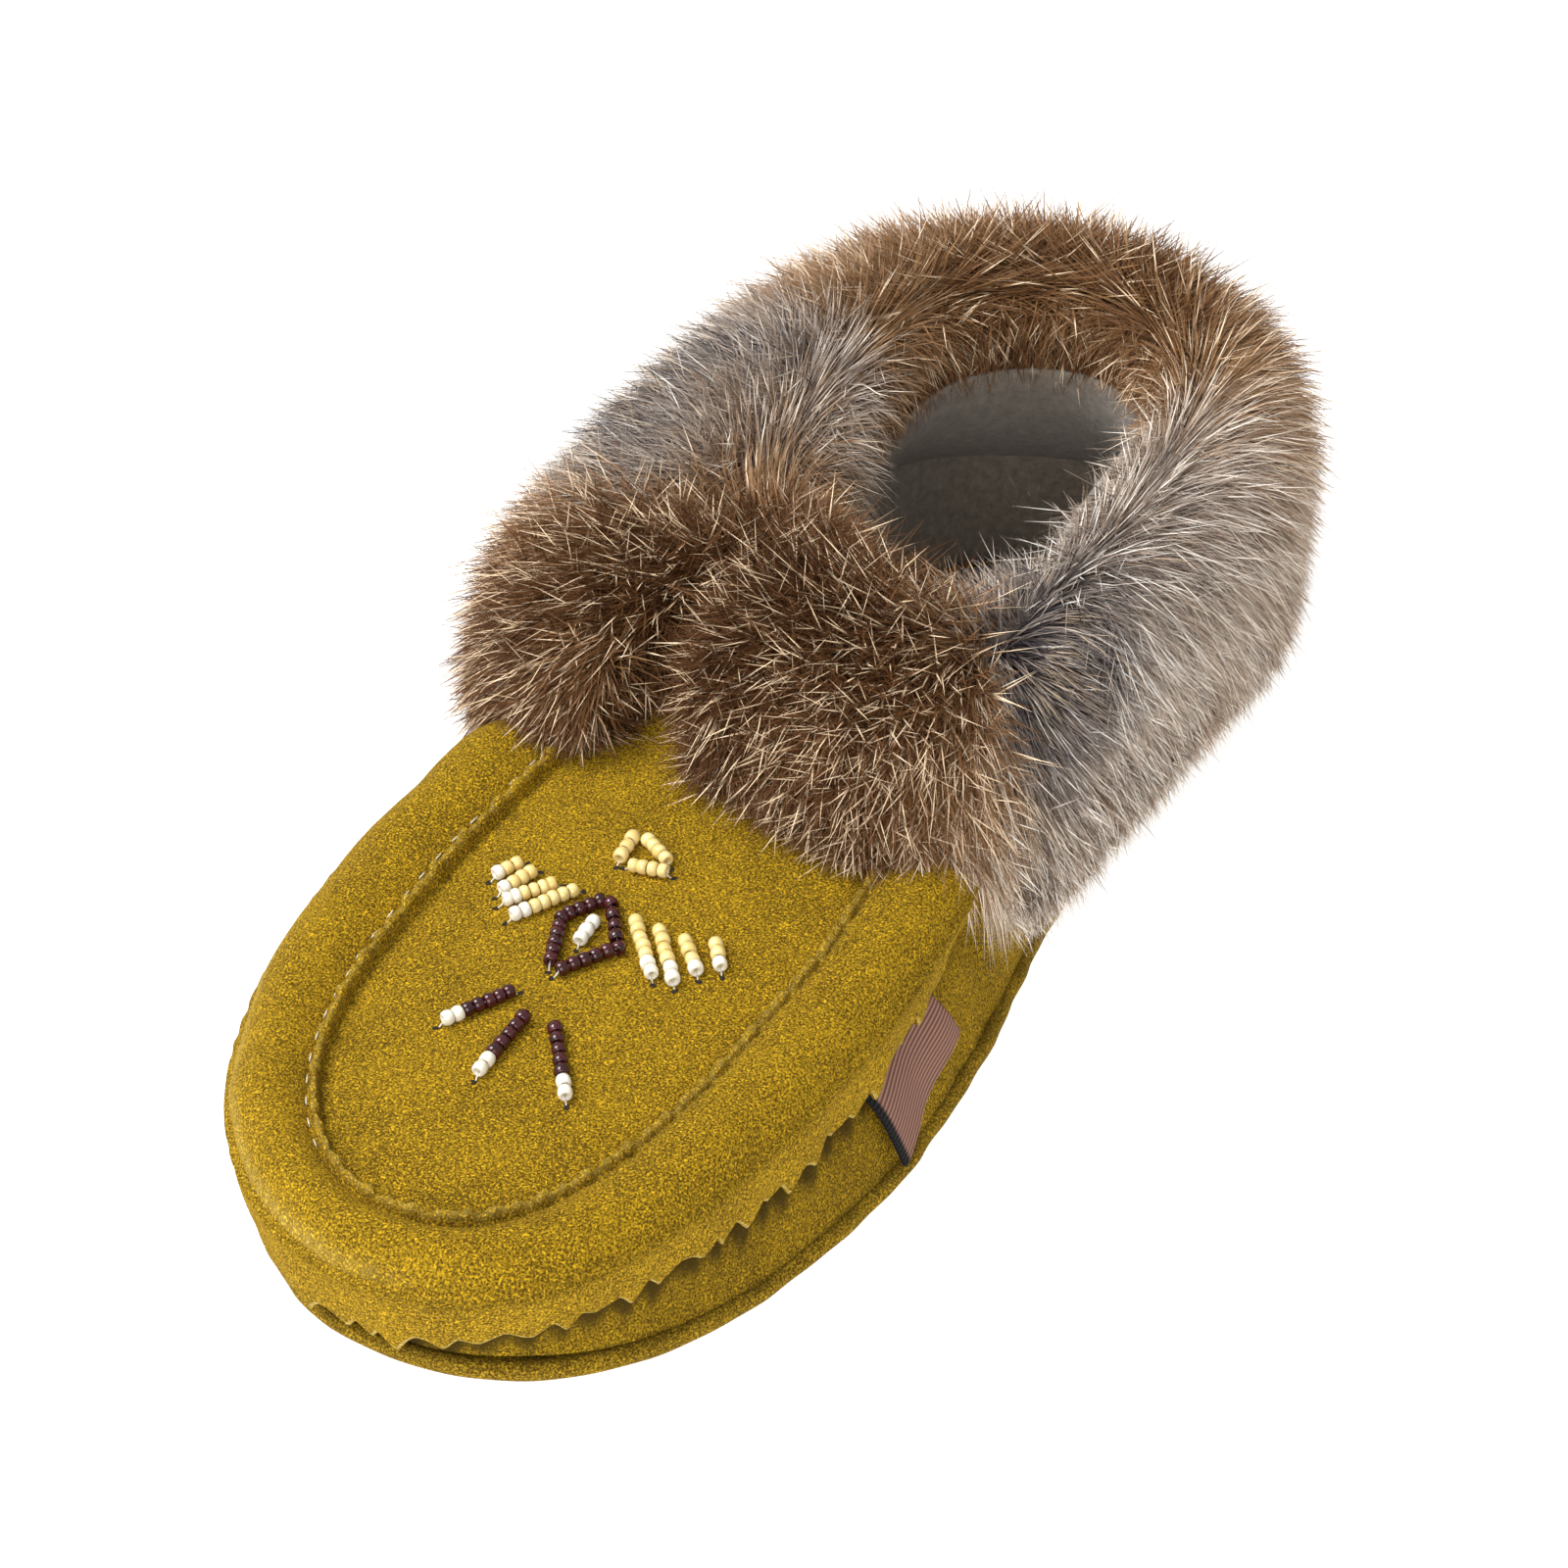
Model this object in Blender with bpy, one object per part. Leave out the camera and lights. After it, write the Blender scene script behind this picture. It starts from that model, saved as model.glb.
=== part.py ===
# Fur moccasin, right foot: soft suede slipper with a fur cuff and a beaded vamp.
# Metres, +Z up. Toe towards -Y, heel towards +Y, the labelled inner side towards +X.
# The origin is on the flat underside of the sole, near the middle of its length.
import bpy
import bmesh
import math
import numpy as np
from mathutils import Vector
from mathutils.bvhtree import BVHTree

MM = 0.001

# Main sizes
SOLE_LENGTH = 256 * MM
BALL_WIDTH = 95.5 * MM
BALL_LINE = -43.8 * MM
TOE_SKEW = 3.3 * MM
HEEL_CAP = 35 * MM
SOLE_THICKNESS = 3.5 * MM
TOE_SPRING = 3.5 * MM
SPRING_LENGTH = 42 * MM
PART_GAP = 0.3 * MM
WALL = 2.2 * MM
INSOLE_THICKNESS = 5 * MM
ROLL_HEIGHT_AT_TOE = 21.6 * MM
ROLL_RISE_PER_LENGTH = 0.109
PUFF_HEIGHT = 5.6 * MM
RIDGE_HEIGHT = 4.9 * MM
PLUG_EDGE_HEIGHT = 2.5 * MM
PLUG_CROWN = 1.6 * MM
QUARTER_HEIGHT = 64 * MM
FUR_LOCK = 6.5 * MM
SKIRT_THICKNESS = 0.9 * MM
TOOTH_PITCH = 5.7 * MM
TOOTH_DEPTH = 2.7 * MM
LABEL_THICKNESS = 0.8 * MM
BEAD_DIAMETER = 2.4 * MM
THREAD_DIAMETER = 1.0 * MM

# Number of columns down each side from toe tip to heel
SIDE_COLUMNS = 30
THROAT_COLUMNS = 15
PLUG_COLUMNS = 8

# Sole half widths behind the ball line, as shares of the half ball width.
# back: share of the way from the ball line to the heel cap's centre.
WAIST_ROWS = (
    # back, left, right
    (0.00, 1.000, 1.000),
    (0.18, 0.968, 0.960),
    (0.43, 0.868, 0.842),
    (0.70, 0.760, 0.740),
    (1.00, 0.690, 0.690),
)

# Vamp lines round the toe. turn: signed share of the way from toe tip to heel, right side positive.
# roll: how far the roll overhangs the sole edge; ridge: how far the pintuck ridge stands inside it.
# pinked: height of the pinked edge. All as shares of the roll height at the toe.
VAMP_ROWS = (
    # turn, roll, ridge, pinked
    (-0.60, 0.110, 0.700, 1.05),
    (-0.37, 0.134, 0.672, 0.95),
    (-0.29, 0.153, 0.630, 0.72),
    (-0.22, 0.180, 0.510, 0.56),
    (-0.15, 0.199, 0.400, 0.50),
    (-0.07, 0.204, 0.310, 0.49),
    (0.00, 0.222, 0.290, 0.52),
    (0.07, 0.176, 0.430, 0.66),
    (0.15, 0.019, 0.590, 0.74),
    (0.22, -0.074, 0.700, 0.80),
    (0.29, -0.120, 0.780, 0.93),
    (0.37, -0.134, 0.775, 1.16),
    (0.60, -0.130, 0.760, 1.36),
)

# Vamp section over the roll. across: share from the roll's outermost line to the ridge.
# rise: height over that line. across_in, rise_in: the same for the inner face. Shares of the puff height.
ROLL_ROWS = (
    # across, rise, across_in, rise_in
    (0.000, 0.00, 0.170, 0.04),
    (0.100, 0.55, 0.230, 0.32),
    (0.320, 0.97, 0.360, 0.58),
    (0.600, 1.00, 0.600, 0.60),
    (0.850, 0.72, 0.820, 0.34),
    (0.940, 0.50, 0.930, 0.12),
)

# Quarter section from sole to collar rim. up: share of the height; out: share of the wall thickness.
QUARTER_ROWS = (
    # up, out
    (0.00, -0.90),
    (0.20, -0.60),
    (0.40, -0.60),
    (0.60, -1.00),
    (0.80, -1.70),
    (1.00, -2.30),
)

# Collar rim height. turn: share of the way from toe tip to heel; rim: share of the quarter height.
RIM_ROWS = (
    # turn, rim
    (0.00, 0.60),
    (0.50, 0.70),
    (0.56, 0.84),
    (0.64, 0.93),
    (0.78, 0.97),
    (1.00, 1.03),
)

# Fur cuff stations, clockwise seen from above from the front.
# in and out: plan positions of its inner and outer reach, as shares of the ball width.
# top and low: heights of its crest and lower edge, as shares of the quarter height.
CUFF_ROWS = (
    # in_x, in_y, out_x, out_y, top, low
    (0.03, 0.30, -0.10, -0.22, 1.10, 0.56),
    (0.00, 0.33, -0.18, -0.12, 1.10, 0.58),
    (-0.02, 0.36, -0.27, -0.20, 1.11, 0.54),
    (-0.05, 0.42, -0.44, -0.17, 1.11, 0.44),
    (-0.08, 0.50, -0.60, -0.03, 1.10, 0.34),
    (-0.10, 0.58, -0.69, 0.20, 1.12, 0.28),
    (-0.12, 0.70, -0.71, 0.55, 1.16, 0.26),
    (-0.12, 0.88, -0.66, 0.98, 1.20, 0.26),
    (-0.08, 1.00, -0.45, 1.34, 1.23, 0.28),
    (0.04, 1.05, -0.04, 1.50, 1.24, 0.31),
    (0.17, 0.98, 0.37, 1.34, 1.22, 0.34),
    (0.26, 0.82, 0.57, 1.02, 1.19, 0.31),
    (0.29, 0.60, 0.60, 0.62, 1.16, 0.33),
    (0.30, 0.42, 0.57, 0.25, 1.14, 0.29),
    (0.28, 0.28, 0.53, 0.00, 1.13, 0.24),
    (0.22, 0.20, 0.45, -0.20, 1.13, 0.34),
    (0.14, 0.22, 0.26, -0.29, 1.12, 0.50),
    (0.08, 0.26, 0.04, -0.25, 1.11, 0.55),
)

# Fur cuff section. in_out: share from its inner to its outer reach; up: share of its height.
CUFF_SECTION = (
    # in_out, up
    (0.00, 0.66),
    (0.05, 0.84),
    (0.18, 0.96),
    (0.38, 1.00),
    (0.58, 0.96),
    (0.76, 0.85),
    (0.89, 0.68),
    (0.97, 0.47),
    (1.00, 0.26),
    (0.97, 0.08),
    (0.86, 0.00),
    (0.55, 0.06),
    (0.25, 0.25),
    (0.06, 0.46),
)

# Bead rows on the plug, from end to end. Positions are shares of the ball width.
BEAD_ROWS = (
    # name, start_x, start_y, end_x, end_y, count
    ("wing_left_1", -0.251, -0.512, -0.234, -0.481, 3),
    ("wing_left_2", -0.221, -0.545, -0.200, -0.495, 4),
    ("wing_left_3", -0.201, -0.571, -0.151, -0.511, 6),
    ("wing_left_4", -0.168, -0.599, -0.111, -0.513, 7),
    ("wing_right_1", 0.020, -0.540, 0.101, -0.637, 7),
    ("wing_right_2", 0.067, -0.545, 0.139, -0.634, 6),
    ("wing_right_3", 0.116, -0.549, 0.161, -0.598, 4),
    ("wing_right_4", 0.163, -0.534, 0.191, -0.571, 3),
    ("centre_beads", -0.042, -0.571, -0.039, -0.613, 3),
    ("tail_left", -0.138, -0.867, -0.079, -0.774, 7),
    ("tail_middle", -0.028, -0.952, -0.028, -0.820, 7),
    ("head_left", -0.088, -0.353, -0.084, -0.400, 3),
    ("head_right", -0.061, -0.349, -0.012, -0.380, 4),
    ("head_base", -0.052, -0.416, -0.001, -0.410, 4),
    ("tail_right", 0.118, -0.943, 0.032, -0.823, 7),
)

# The diamond's outline of beads on one thread: corner positions as shares of the ball width.
DIAMOND_CORNERS = (
    # x, y, steps of one bead to the next corner
    (-0.059, -0.678, 5),
    (-0.094, -0.582, 1),
    (-0.087, -0.566, 3),
    (-0.058, -0.519, 1),
    (-0.037, -0.518, 4),
    (0.027, -0.609, 1),
    (0.014, -0.624, 4),
    (-0.030, -0.691, 0),
)


def smooth_value(rows, place, column):
    """Value of a table column at a place along its first column, by a smooth curve through the rows."""
    xs = [row[0] for row in rows]
    ys = [row[column] for row in rows]
    place = min(max(place, xs[0]), xs[-1])
    last = len(xs) - 1
    k = max(i for i in range(last) if xs[i] <= place)
    slopes = []
    for i in (k, k + 1):
        low = max(i - 1, 0)
        high = min(i + 1, last)
        slopes.append((ys[high] - ys[low]) / (xs[high] - xs[low]))
    span = xs[k + 1] - xs[k]
    t = (place - xs[k]) / span
    a = 2 * t ** 3 - 3 * t ** 2 + 1
    b = t ** 3 - 2 * t ** 2 + t
    c = -2 * t ** 3 + 3 * t ** 2
    d = t ** 3 - t ** 2
    return a * ys[k] + b * span * slopes[0] + c * ys[k + 1] + d * span * slopes[1]


def half_outline(side):
    """Dense sole edge from toe tip to heel end on one side: +1 right, -1 left."""
    half = BALL_WIDTH / 2
    heel_end = BALL_LINE + SOLE_LENGTH - toe_reach()
    heel_centre = heel_end - HEEL_CAP
    points = []
    for k in range(120):
        t = math.pi / 2 * (1 - k / 120)
        x = side * half * math.cos(t) ** 0.894 + TOE_SKEW * math.sin(t) ** 3
        points.append((x, BALL_LINE - toe_reach() * math.sin(t) ** 0.96))
    column = 2 if side > 0 else 1
    for k in range(140):
        back = k / 140
        x = side * half * smooth_value(WAIST_ROWS, back, column)
        points.append((x, BALL_LINE + back * (heel_centre - BALL_LINE)))
    heel_half = half * WAIST_ROWS[-1][column]
    for k in range(61):
        t = math.pi / 2 * k / 60
        points.append((side * heel_half * math.cos(t), heel_centre + HEEL_CAP * math.sin(t)))
    return np.array(points)


def toe_reach():
    """How far the toe tip lies in front of the ball line."""
    return SOLE_LENGTH / 2 - 1.2 * MM + BALL_LINE


def measured(points):
    """Distance along a line of points, from its start."""
    steps = np.hypot(*np.diff(points, axis=0).T)
    return np.concatenate([[0.0], np.cumsum(steps)])


class Outline:
    """The sole edge as a place and an outward direction for every turn from -1 to 1."""

    def __init__(self):
        right = half_outline(1)
        left = half_outline(-1)
        self.turns = np.concatenate([
            -measured(left)[::-1] / measured(left)[-1],
            measured(right)[1:] / measured(right)[-1],
        ])
        self.points = np.concatenate([left[::-1], right[1:]])
        around = np.concatenate([self.points[-8:-1], self.points, self.points[1:8]])
        along = np.gradient(around, axis=0)
        kernel = np.hanning(9)[1:-1]
        along = np.stack([np.convolve(along[:, c], kernel, "same") for c in (0, 1)], axis=1)[7:-7]
        along /= np.linalg.norm(along, axis=1)[:, None]
        self.normals = np.stack([along[:, 1], -along[:, 0]], axis=1)
        self.length = measured(self.points)[-1]

    def at(self, turn, out):
        """Plan position at a turn, moved outwards by a distance."""
        x = np.interp(turn, self.turns, self.points[:, 0])
        y = np.interp(turn, self.turns, self.points[:, 1])
        nx = np.interp(turn, self.turns, self.normals[:, 0])
        ny = np.interp(turn, self.turns, self.normals[:, 1])
        norm = math.hypot(nx, ny)
        return x + out * nx / norm, y + out * ny / norm


EDGE = Outline()


def spring_at(y):
    """Lift of the toe off the floor."""
    toe = BALL_LINE - toe_reach()
    share = min(max((toe + SPRING_LENGTH - y) / SPRING_LENGTH, 0), 1)
    return TOE_SPRING * share ** 2


def sole_top(y):
    return SOLE_THICKNESS + spring_at(y)


def roll_height(y):
    """Height of the roll's outermost line; it rises evenly from the toe."""
    toe = BALL_LINE - toe_reach() - 0.22 * ROLL_HEIGHT_AT_TOE
    return ROLL_HEIGHT_AT_TOE + ROLL_RISE_PER_LENGTH * (y - toe)


def eased(value):
    value = min(max(value, 0), 1)
    return value * value * (3 - 2 * value)


def wall_out(turn, share):
    """Outward offset of the side wall at a share of its height below the roll."""
    roll = smooth_value(VAMP_ROWS, turn, 1) * ROLL_HEIGHT_AT_TOE
    foot = QUARTER_ROWS[0][1] * WALL
    tuck = min(-1.6 * WALL, roll - 2 * WALL)
    return foot + (tuck - foot) * min(max(share, 0) / 0.68, 1) ** 1.6


def upper_ring(turn, ring, inner):
    """Position on the upper's outer or inner face: ring 0 at the foot, ring 12 at plug edge or rim."""
    roll = smooth_value(VAMP_ROWS, turn, 1) * ROLL_HEIGHT_AT_TOE
    width = roll + smooth_value(VAMP_ROWS, turn, 2) * ROLL_HEIGHT_AT_TOE
    inward = WALL if inner else 0.0
    x, y = EDGE.at(turn, roll)
    height = roll_height(y)
    foot = sole_top(y) + PART_GAP
    if ring <= 2:
        share = (0.0, 0.40, 0.68)[ring]
        out = wall_out(turn, share) - inward
        z = foot + share * (height - foot)
    elif ring == 3:
        out = roll - (2.2 * WALL if inner else WALL)
        z = foot + (0.90 if inner else 0.86) * (height - foot)
    elif ring <= 9:
        row = ROLL_ROWS[ring - 4]
        out = roll - width * row[2 if inner else 0]
        x, y = EDGE.at(turn, out)
        z = roll_height(y) + PUFF_HEIGHT * row[3 if inner else 1]
    else:
        across = ((0.965, 1.035, 1.075), (0.99, 1.04, 1.09))[inner][ring - 10]
        rise = (RIDGE_HEIGHT, RIDGE_HEIGHT, PLUG_EDGE_HEIGHT)[ring - 10]
        rise = PLUG_EDGE_HEIGHT - WALL if inner else rise
        out = roll - width * across
        x, y = EDGE.at(turn, out)
        z = roll_height(y) + rise
    blend = eased((abs(turn) - 0.44) / 0.12)
    if blend > 0:
        up = ring / 12
        rim = smooth_value(RIM_ROWS, abs(turn), 1) * QUARTER_HEIGHT
        x, y = EDGE.at(turn, 0)
        quarter_foot = sole_top(y) + PART_GAP
        quarter_out = smooth_value(QUARTER_ROWS, up, 1) * WALL - inward
        quarter_z = quarter_foot + up * (rim - quarter_foot)
        out += (quarter_out - out) * blend
        z += (quarter_z - z) * blend
    x, y = EDGE.at(turn, out)
    return x, y, z


def loop_turns():
    """Turns of the columns round the shoe: toe tip, right side, heel, left side."""
    right = [k / SIDE_COLUMNS for k in range(SIDE_COLUMNS + 1)]
    left = [-k / SIDE_COLUMNS for k in range(SIDE_COLUMNS - 1, 0, -1)]
    return right + left


def laid_grid(bm, columns, rows, place):
    """A grid of columns by rows with each vertex put where place(column, row) says."""
    made = bmesh.ops.create_grid(bm, x_segments=columns - 1, y_segments=rows - 1, size=0.5)
    made["verts"].sort(key=lambda v: (round(v.co.y, 6), round(v.co.x, 6)))
    for index, vert in enumerate(made["verts"]):
        vert.co = Vector(place(index % columns, index // columns))
    return made["verts"]


def finished(bm, name, material):
    """Weld, face outwards and hand over as a named object."""
    bmesh.ops.remove_doubles(bm, verts=bm.verts, dist=0.00001)
    bmesh.ops.dissolve_degenerate(bm, edges=bm.edges, dist=0.000001)
    bmesh.ops.recalc_face_normals(bm, faces=bm.faces)
    mesh = bpy.data.meshes.new(name)
    bm.to_mesh(mesh)
    bm.free()
    obj = bpy.data.objects.new(name, mesh)
    bpy.context.scene.collection.objects.link(obj)
    mesh.materials.append(material)
    return obj


def surface(name, colour, roughness):
    material = bpy.data.materials.new(name)
    material.use_nodes = True
    shader = material.node_tree.nodes["Principled BSDF"]
    shader.inputs["Base Color"].default_value = (*colour, 1)
    shader.inputs["Roughness"].default_value = roughness
    return material


def pad(rings, segments):
    """A closed plate over the whole outline from rings of (outward offset, height function of y)."""
    bm = bmesh.new()
    turns = loop_turns()
    count = len(turns)

    def edge(column, row):
        out, height = rings[row]
        x, y = EDGE.at(turns[column % count], out)
        return x, y, height(y)

    laid_grid(bm, count + 1, len(rings), edge)
    for row in (0, len(rings) - 1):
        def across(column, step, row=row):
            right = edge(column, row)
            left = edge((count - column) % count, row)
            share = step / segments
            x, y = [left[c] + (right[c] - left[c]) * share for c in (0, 1)]
            return x, y, rings[row][1](y)

        laid_grid(bm, SIDE_COLUMNS + 1, segments + 1, across)
    return bm


def upper_face(bm, inner):
    """Lay one face of the upper, outer or inner, into a mesh: rings round the shoe and the plug."""
    turns = loop_turns()
    count = len(turns)

    def wall(column, ring):
        return upper_ring(turns[column % count], ring, inner)

    def plug(row, step):
        right = wall(row, 12)
        left = wall((count - row) % count, 12)
        share = step / PLUG_COLUMNS
        x, y, z = [left[c] + (right[c] - left[c]) * share for c in range(3)]
        crown = PLUG_CROWN * min(row / 5, 1) * (1 - (2 * share - 1) ** 2)
        return x, y, z + crown

    laid_grid(bm, count + 1, 13, wall)
    laid_grid(bm, THROAT_COLUMNS + 1, PLUG_COLUMNS + 1, plug)
    bmesh.ops.remove_doubles(bm, verts=bm.verts, dist=0.00001)
    bmesh.ops.triangulate(bm, faces=bm.faces, quad_method="FIXED")


def plug_height(x, y):
    """Height of the vamp's plug at a plan position."""
    half = 0.31 * BALL_WIDTH
    crown = PLUG_CROWN * max(1 - (x / half) ** 2, 0)
    return roll_height(y) + PLUG_EDGE_HEIGHT + crown


for old in list(bpy.data.objects):
    bpy.data.objects.remove(old, do_unlink=True)

suede = surface("suede", (0.36, 0.22, 0.012), 0.9)
sole_suede = surface("sole_suede", (0.28, 0.17, 0.012), 0.9)
skirt_suede = surface("skirt_suede", (0.34, 0.21, 0.012), 0.9)
fleece = surface("fleece", (0.10, 0.095, 0.085), 0.95)
fur = surface("fur", (0.19, 0.14, 0.095), 0.8)
woven = surface("woven_label", (0.42, 0.26, 0.21), 0.8)
maroon = surface("maroon_glass", (0.055, 0.012, 0.010), 0.2)
cream = surface("cream_glass", (0.72, 0.55, 0.26), 0.3)

# Sole: flat plate with a rounded lip and a little toe spring
sole_rings = (
    (-1.4 * MM, spring_at),
    (-0.3 * MM, lambda y: spring_at(y) + 0.25 * SOLE_THICKNESS),
    (0.0, lambda y: spring_at(y) + 0.55 * SOLE_THICKNESS),
    (-0.6 * MM, lambda y: spring_at(y) + 0.88 * SOLE_THICKNESS),
    (-1.5 * MM, sole_top),
)
finished(pad(sole_rings, 1), "sole", sole_suede)

# Insole: padded plate inside the foot of the wall
insole_edge = -2.1 * WALL
insole_rings = (
    (insole_edge - 0.8 * MM, lambda y: sole_top(y) + PART_GAP),
    (insole_edge - 0.6 * MM, lambda y: sole_top(y) + PART_GAP + 0.70 * INSOLE_THICKNESS),
    (insole_edge - 2.0 * MM, lambda y: sole_top(y) + PART_GAP + INSOLE_THICKNESS),
)
finished(pad(insole_rings, 1), "insole", fleece)

# Upper: outer and inner face, joined along the foot and along the collar rim
bm = bmesh.new()
upper_face(bm, False)
open_outer = [e for e in bm.edges if e.is_boundary]
upper_face(bm, True)
open_all = [e for e in bm.edges if e.is_boundary]
foot_line = 12 * MM
bmesh.ops.bridge_loops(bm, edges=[e for e in open_all if e.verts[0].co.z < foot_line])
bmesh.ops.bridge_loops(bm, edges=[e for e in open_all if e.verts[0].co.z >= foot_line])
finished(bm, "upper", suede)
# The foot cavity and collar closed over, grown by the gap: what the fur cuff is cut from
bm = bmesh.new()
upper_face(bm, False)
bmesh.ops.recalc_face_normals(bm, faces=bm.faces)
bm.normal_update()
grown = [(v, v.co + v.normal * PART_GAP * 1.9) for v in bm.verts]
outward = sum(v.normal.z for v in bm.verts if v.co.z > 0.5 * ROLL_HEIGHT_AT_TOE and v.co.y < BALL_LINE)
for vert, place in grown:
    vert.co = place if outward > 0 else 2 * vert.co - place
rim_edges = [e for e in bm.edges if e.is_boundary and e.verts[0].co.z > foot_line]
foot_edges = [e for e in bm.edges if e.is_boundary and e.verts[0].co.z <= foot_line]
for v in {v for e in rim_edges for v in e.verts}:
    v.co.z += 2 * PART_GAP
brim = bmesh.ops.extrude_edge_only(bm, edges=rim_edges)["geom"]
for v in [item for item in brim if isinstance(item, bmesh.types.BMVert)]:
    if abs(v.co.x) < 0.30 * BALL_WIDTH and v.co.y < 0.5 * BALL_WIDTH:
        inward = Vector((0.0, 1.0, 0.0))
    else:
        inward = Vector((-v.co.x, min(BALL_WIDTH - v.co.y, 0.0), 0.0)).normalized()
    v.co += inward * (WALL + 3 * PART_GAP) + Vector((0.0, 0.0, PART_GAP))
rim_edges = [item for item in brim if isinstance(item, bmesh.types.BMEdge)]
for v in {v for e in foot_edges for v in e.verts}:
    v.co.z -= 2 * PART_GAP
for edges in (rim_edges, foot_edges):
    verts = list({v for e in edges for v in e.verts})
    middle = bm.verts.new(sum((v.co for v in verts), Vector()) / len(verts))
    if edges is rim_edges:
        middle.co.z = 1.06 * QUARTER_HEIGHT
    for e in edges:
        bm.faces.new((e.verts[0], e.verts[1], middle))
foot_form = finished(bm, "foot_form", suede)

# Fur cuff: a soft tube folded over the collar rim, cut back from the upper, then grown into locks
bm = bmesh.new()
STATIONS = 38
section_count = len(CUFF_SECTION)
row_count = len(CUFF_ROWS)


def cuff_value(station, column):
    """Value of a cuff column at a station, smoothly round the closed ring."""
    closed = [(k, *CUFF_ROWS[k % row_count]) for k in range(-2, row_count + 3)]
    return smooth_value(closed, station * row_count / STATIONS, column + 1)


def cuff_place(station, step):
    station %= STATIONS
    share, up = CUFF_SECTION[step % section_count]
    inner = [cuff_value(station, c) * BALL_WIDTH for c in (0, 1)]
    outer = [cuff_value(station, c) * BALL_WIDTH for c in (2, 3)]
    top = cuff_value(station, 4) * QUARTER_HEIGHT
    low = cuff_value(station, 5) * QUARTER_HEIGHT
    x, y = [inner[c] + (outer[c] - inner[c]) * share for c in (0, 1)]
    return x, y, low + (top - low) * up


laid_grid(bm, STATIONS + 1, section_count + 1, cuff_place)
cuff = finished(bm, "fur_collar", fur)
whole = {tuple(round(c, 6) for c in face.center) for face in cuff.data.polygons}
cut = cuff.modifiers.new("cut", "BOOLEAN")
cut.operation = "DIFFERENCE"
cut.solver = "EXACT"
cut.object = foot_form
graph = bpy.context.evaluated_depsgraph_get()
bm = bmesh.new()
bm.from_mesh(cuff.evaluated_get(graph).to_mesh())
kept_clear = BVHTree.FromObject(foot_form, graph)
bmesh.ops.remove_doubles(bm, verts=bm.verts, dist=0.00006)
bmesh.ops.dissolve_degenerate(bm, edges=bm.edges, dist=0.00001)
bpy.data.objects.remove(cuff, do_unlink=True)
bpy.data.objects.remove(foot_form, do_unlink=True)
skin = []
for face in bm.faces:
    centre = face.calc_center_median()
    same = tuple(round(c, 6) for c in centre) in whole
    if same and len(face.verts) == 4 and face.normal.z > -0.75:
        skin.append(face)
middle = Vector((0.0, 0.6 * BALL_WIDTH, 0.0))
leans = {}
for face in skin:
    centre = face.calc_center_median()
    away = Vector((centre.x - middle.x, 0.6 * (centre.y - middle.y), 0.0)).normalized()
    flow = away * 0.7 + Vector((0.0, 0.0, -0.7))
    flow -= face.normal * flow.dot(face.normal)
    wave = 0.8 + 0.35 * math.sin(900 * centre.x + 1300 * centre.y + 700 * centre.z)
    leans[tuple(round(c, 6) for c in centre)] = FUR_LOCK * wave * (face.normal * 0.75 + flow * 0.55)
poked = bmesh.ops.poke(bm, faces=skin)
for vert in poked["verts"]:
    key = min(leans, key=lambda k: (Vector(k) - vert.co).length_squared)
    lean = leans[key]
    for attempt in range(6):
        place, normal, _, gap = kept_clear.find_nearest(vert.co + lean)
        if (vert.co + lean - place).dot(normal) > 1.2 * MM:
            break
        lean *= 0.6
    vert.co += lean
finished(bm, "fur_collar", fur)

# Pinked skirt: the vamp's free edge hanging from under the roll, cut in zigzag teeth
bm = bmesh.new()
reach = 0.44
teeth = round(reach * EDGE.length / TOOTH_PITCH)


def skirt_place(column, row):
    turn = reach * (column / teeth - 1)
    x, y = EDGE.at(turn, 0)
    foot = sole_top(y) + PART_GAP
    height = roll_height(y) - foot
    pinked = smooth_value(VAMP_ROWS, turn, 3) * ROLL_HEIGHT_AT_TOE
    lowest = min((pinked - foot) / height, 0.61) - (TOOTH_DEPTH / height if column % 2 else 0)
    lowest = max(lowest, 0.03)
    share = (0.66, 0.5 * (0.66 + lowest), lowest, lowest, 0.5 * (0.66 + lowest), 0.66)[row % 6]
    out = wall_out(turn, share) + 1.3 * PART_GAP
    if row % 6 < 3:
        out += SKIRT_THICKNESS
    x, y = EDGE.at(turn, out)
    return x, y, foot + share * height


laid_grid(bm, 2 * teeth + 1, 7, skirt_place)
bmesh.ops.remove_doubles(bm, verts=bm.verts, dist=0.00001)
bmesh.ops.holes_fill(bm, edges=[e for e in bm.edges if e.is_boundary], sides=8)
finished(bm, "pinked_skirt", skirt_suede)

# Label: a thin woven strip that comes out under the pinked edge and curves away from the wall.
# turn: place round the shoe; up: share of the roll height at the toe, for its top and its free edge.
LABEL_ROWS = (
    # column, top_turn, top_up, free_turn, free_up
    (0.00, 0.314, 0.74, 0.330, 0.22),
    (0.50, 0.352, 0.79, 0.368, 0.38),
    (1.00, 0.390, 0.82, 0.408, 0.50),
)
bm = bmesh.new()


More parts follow.
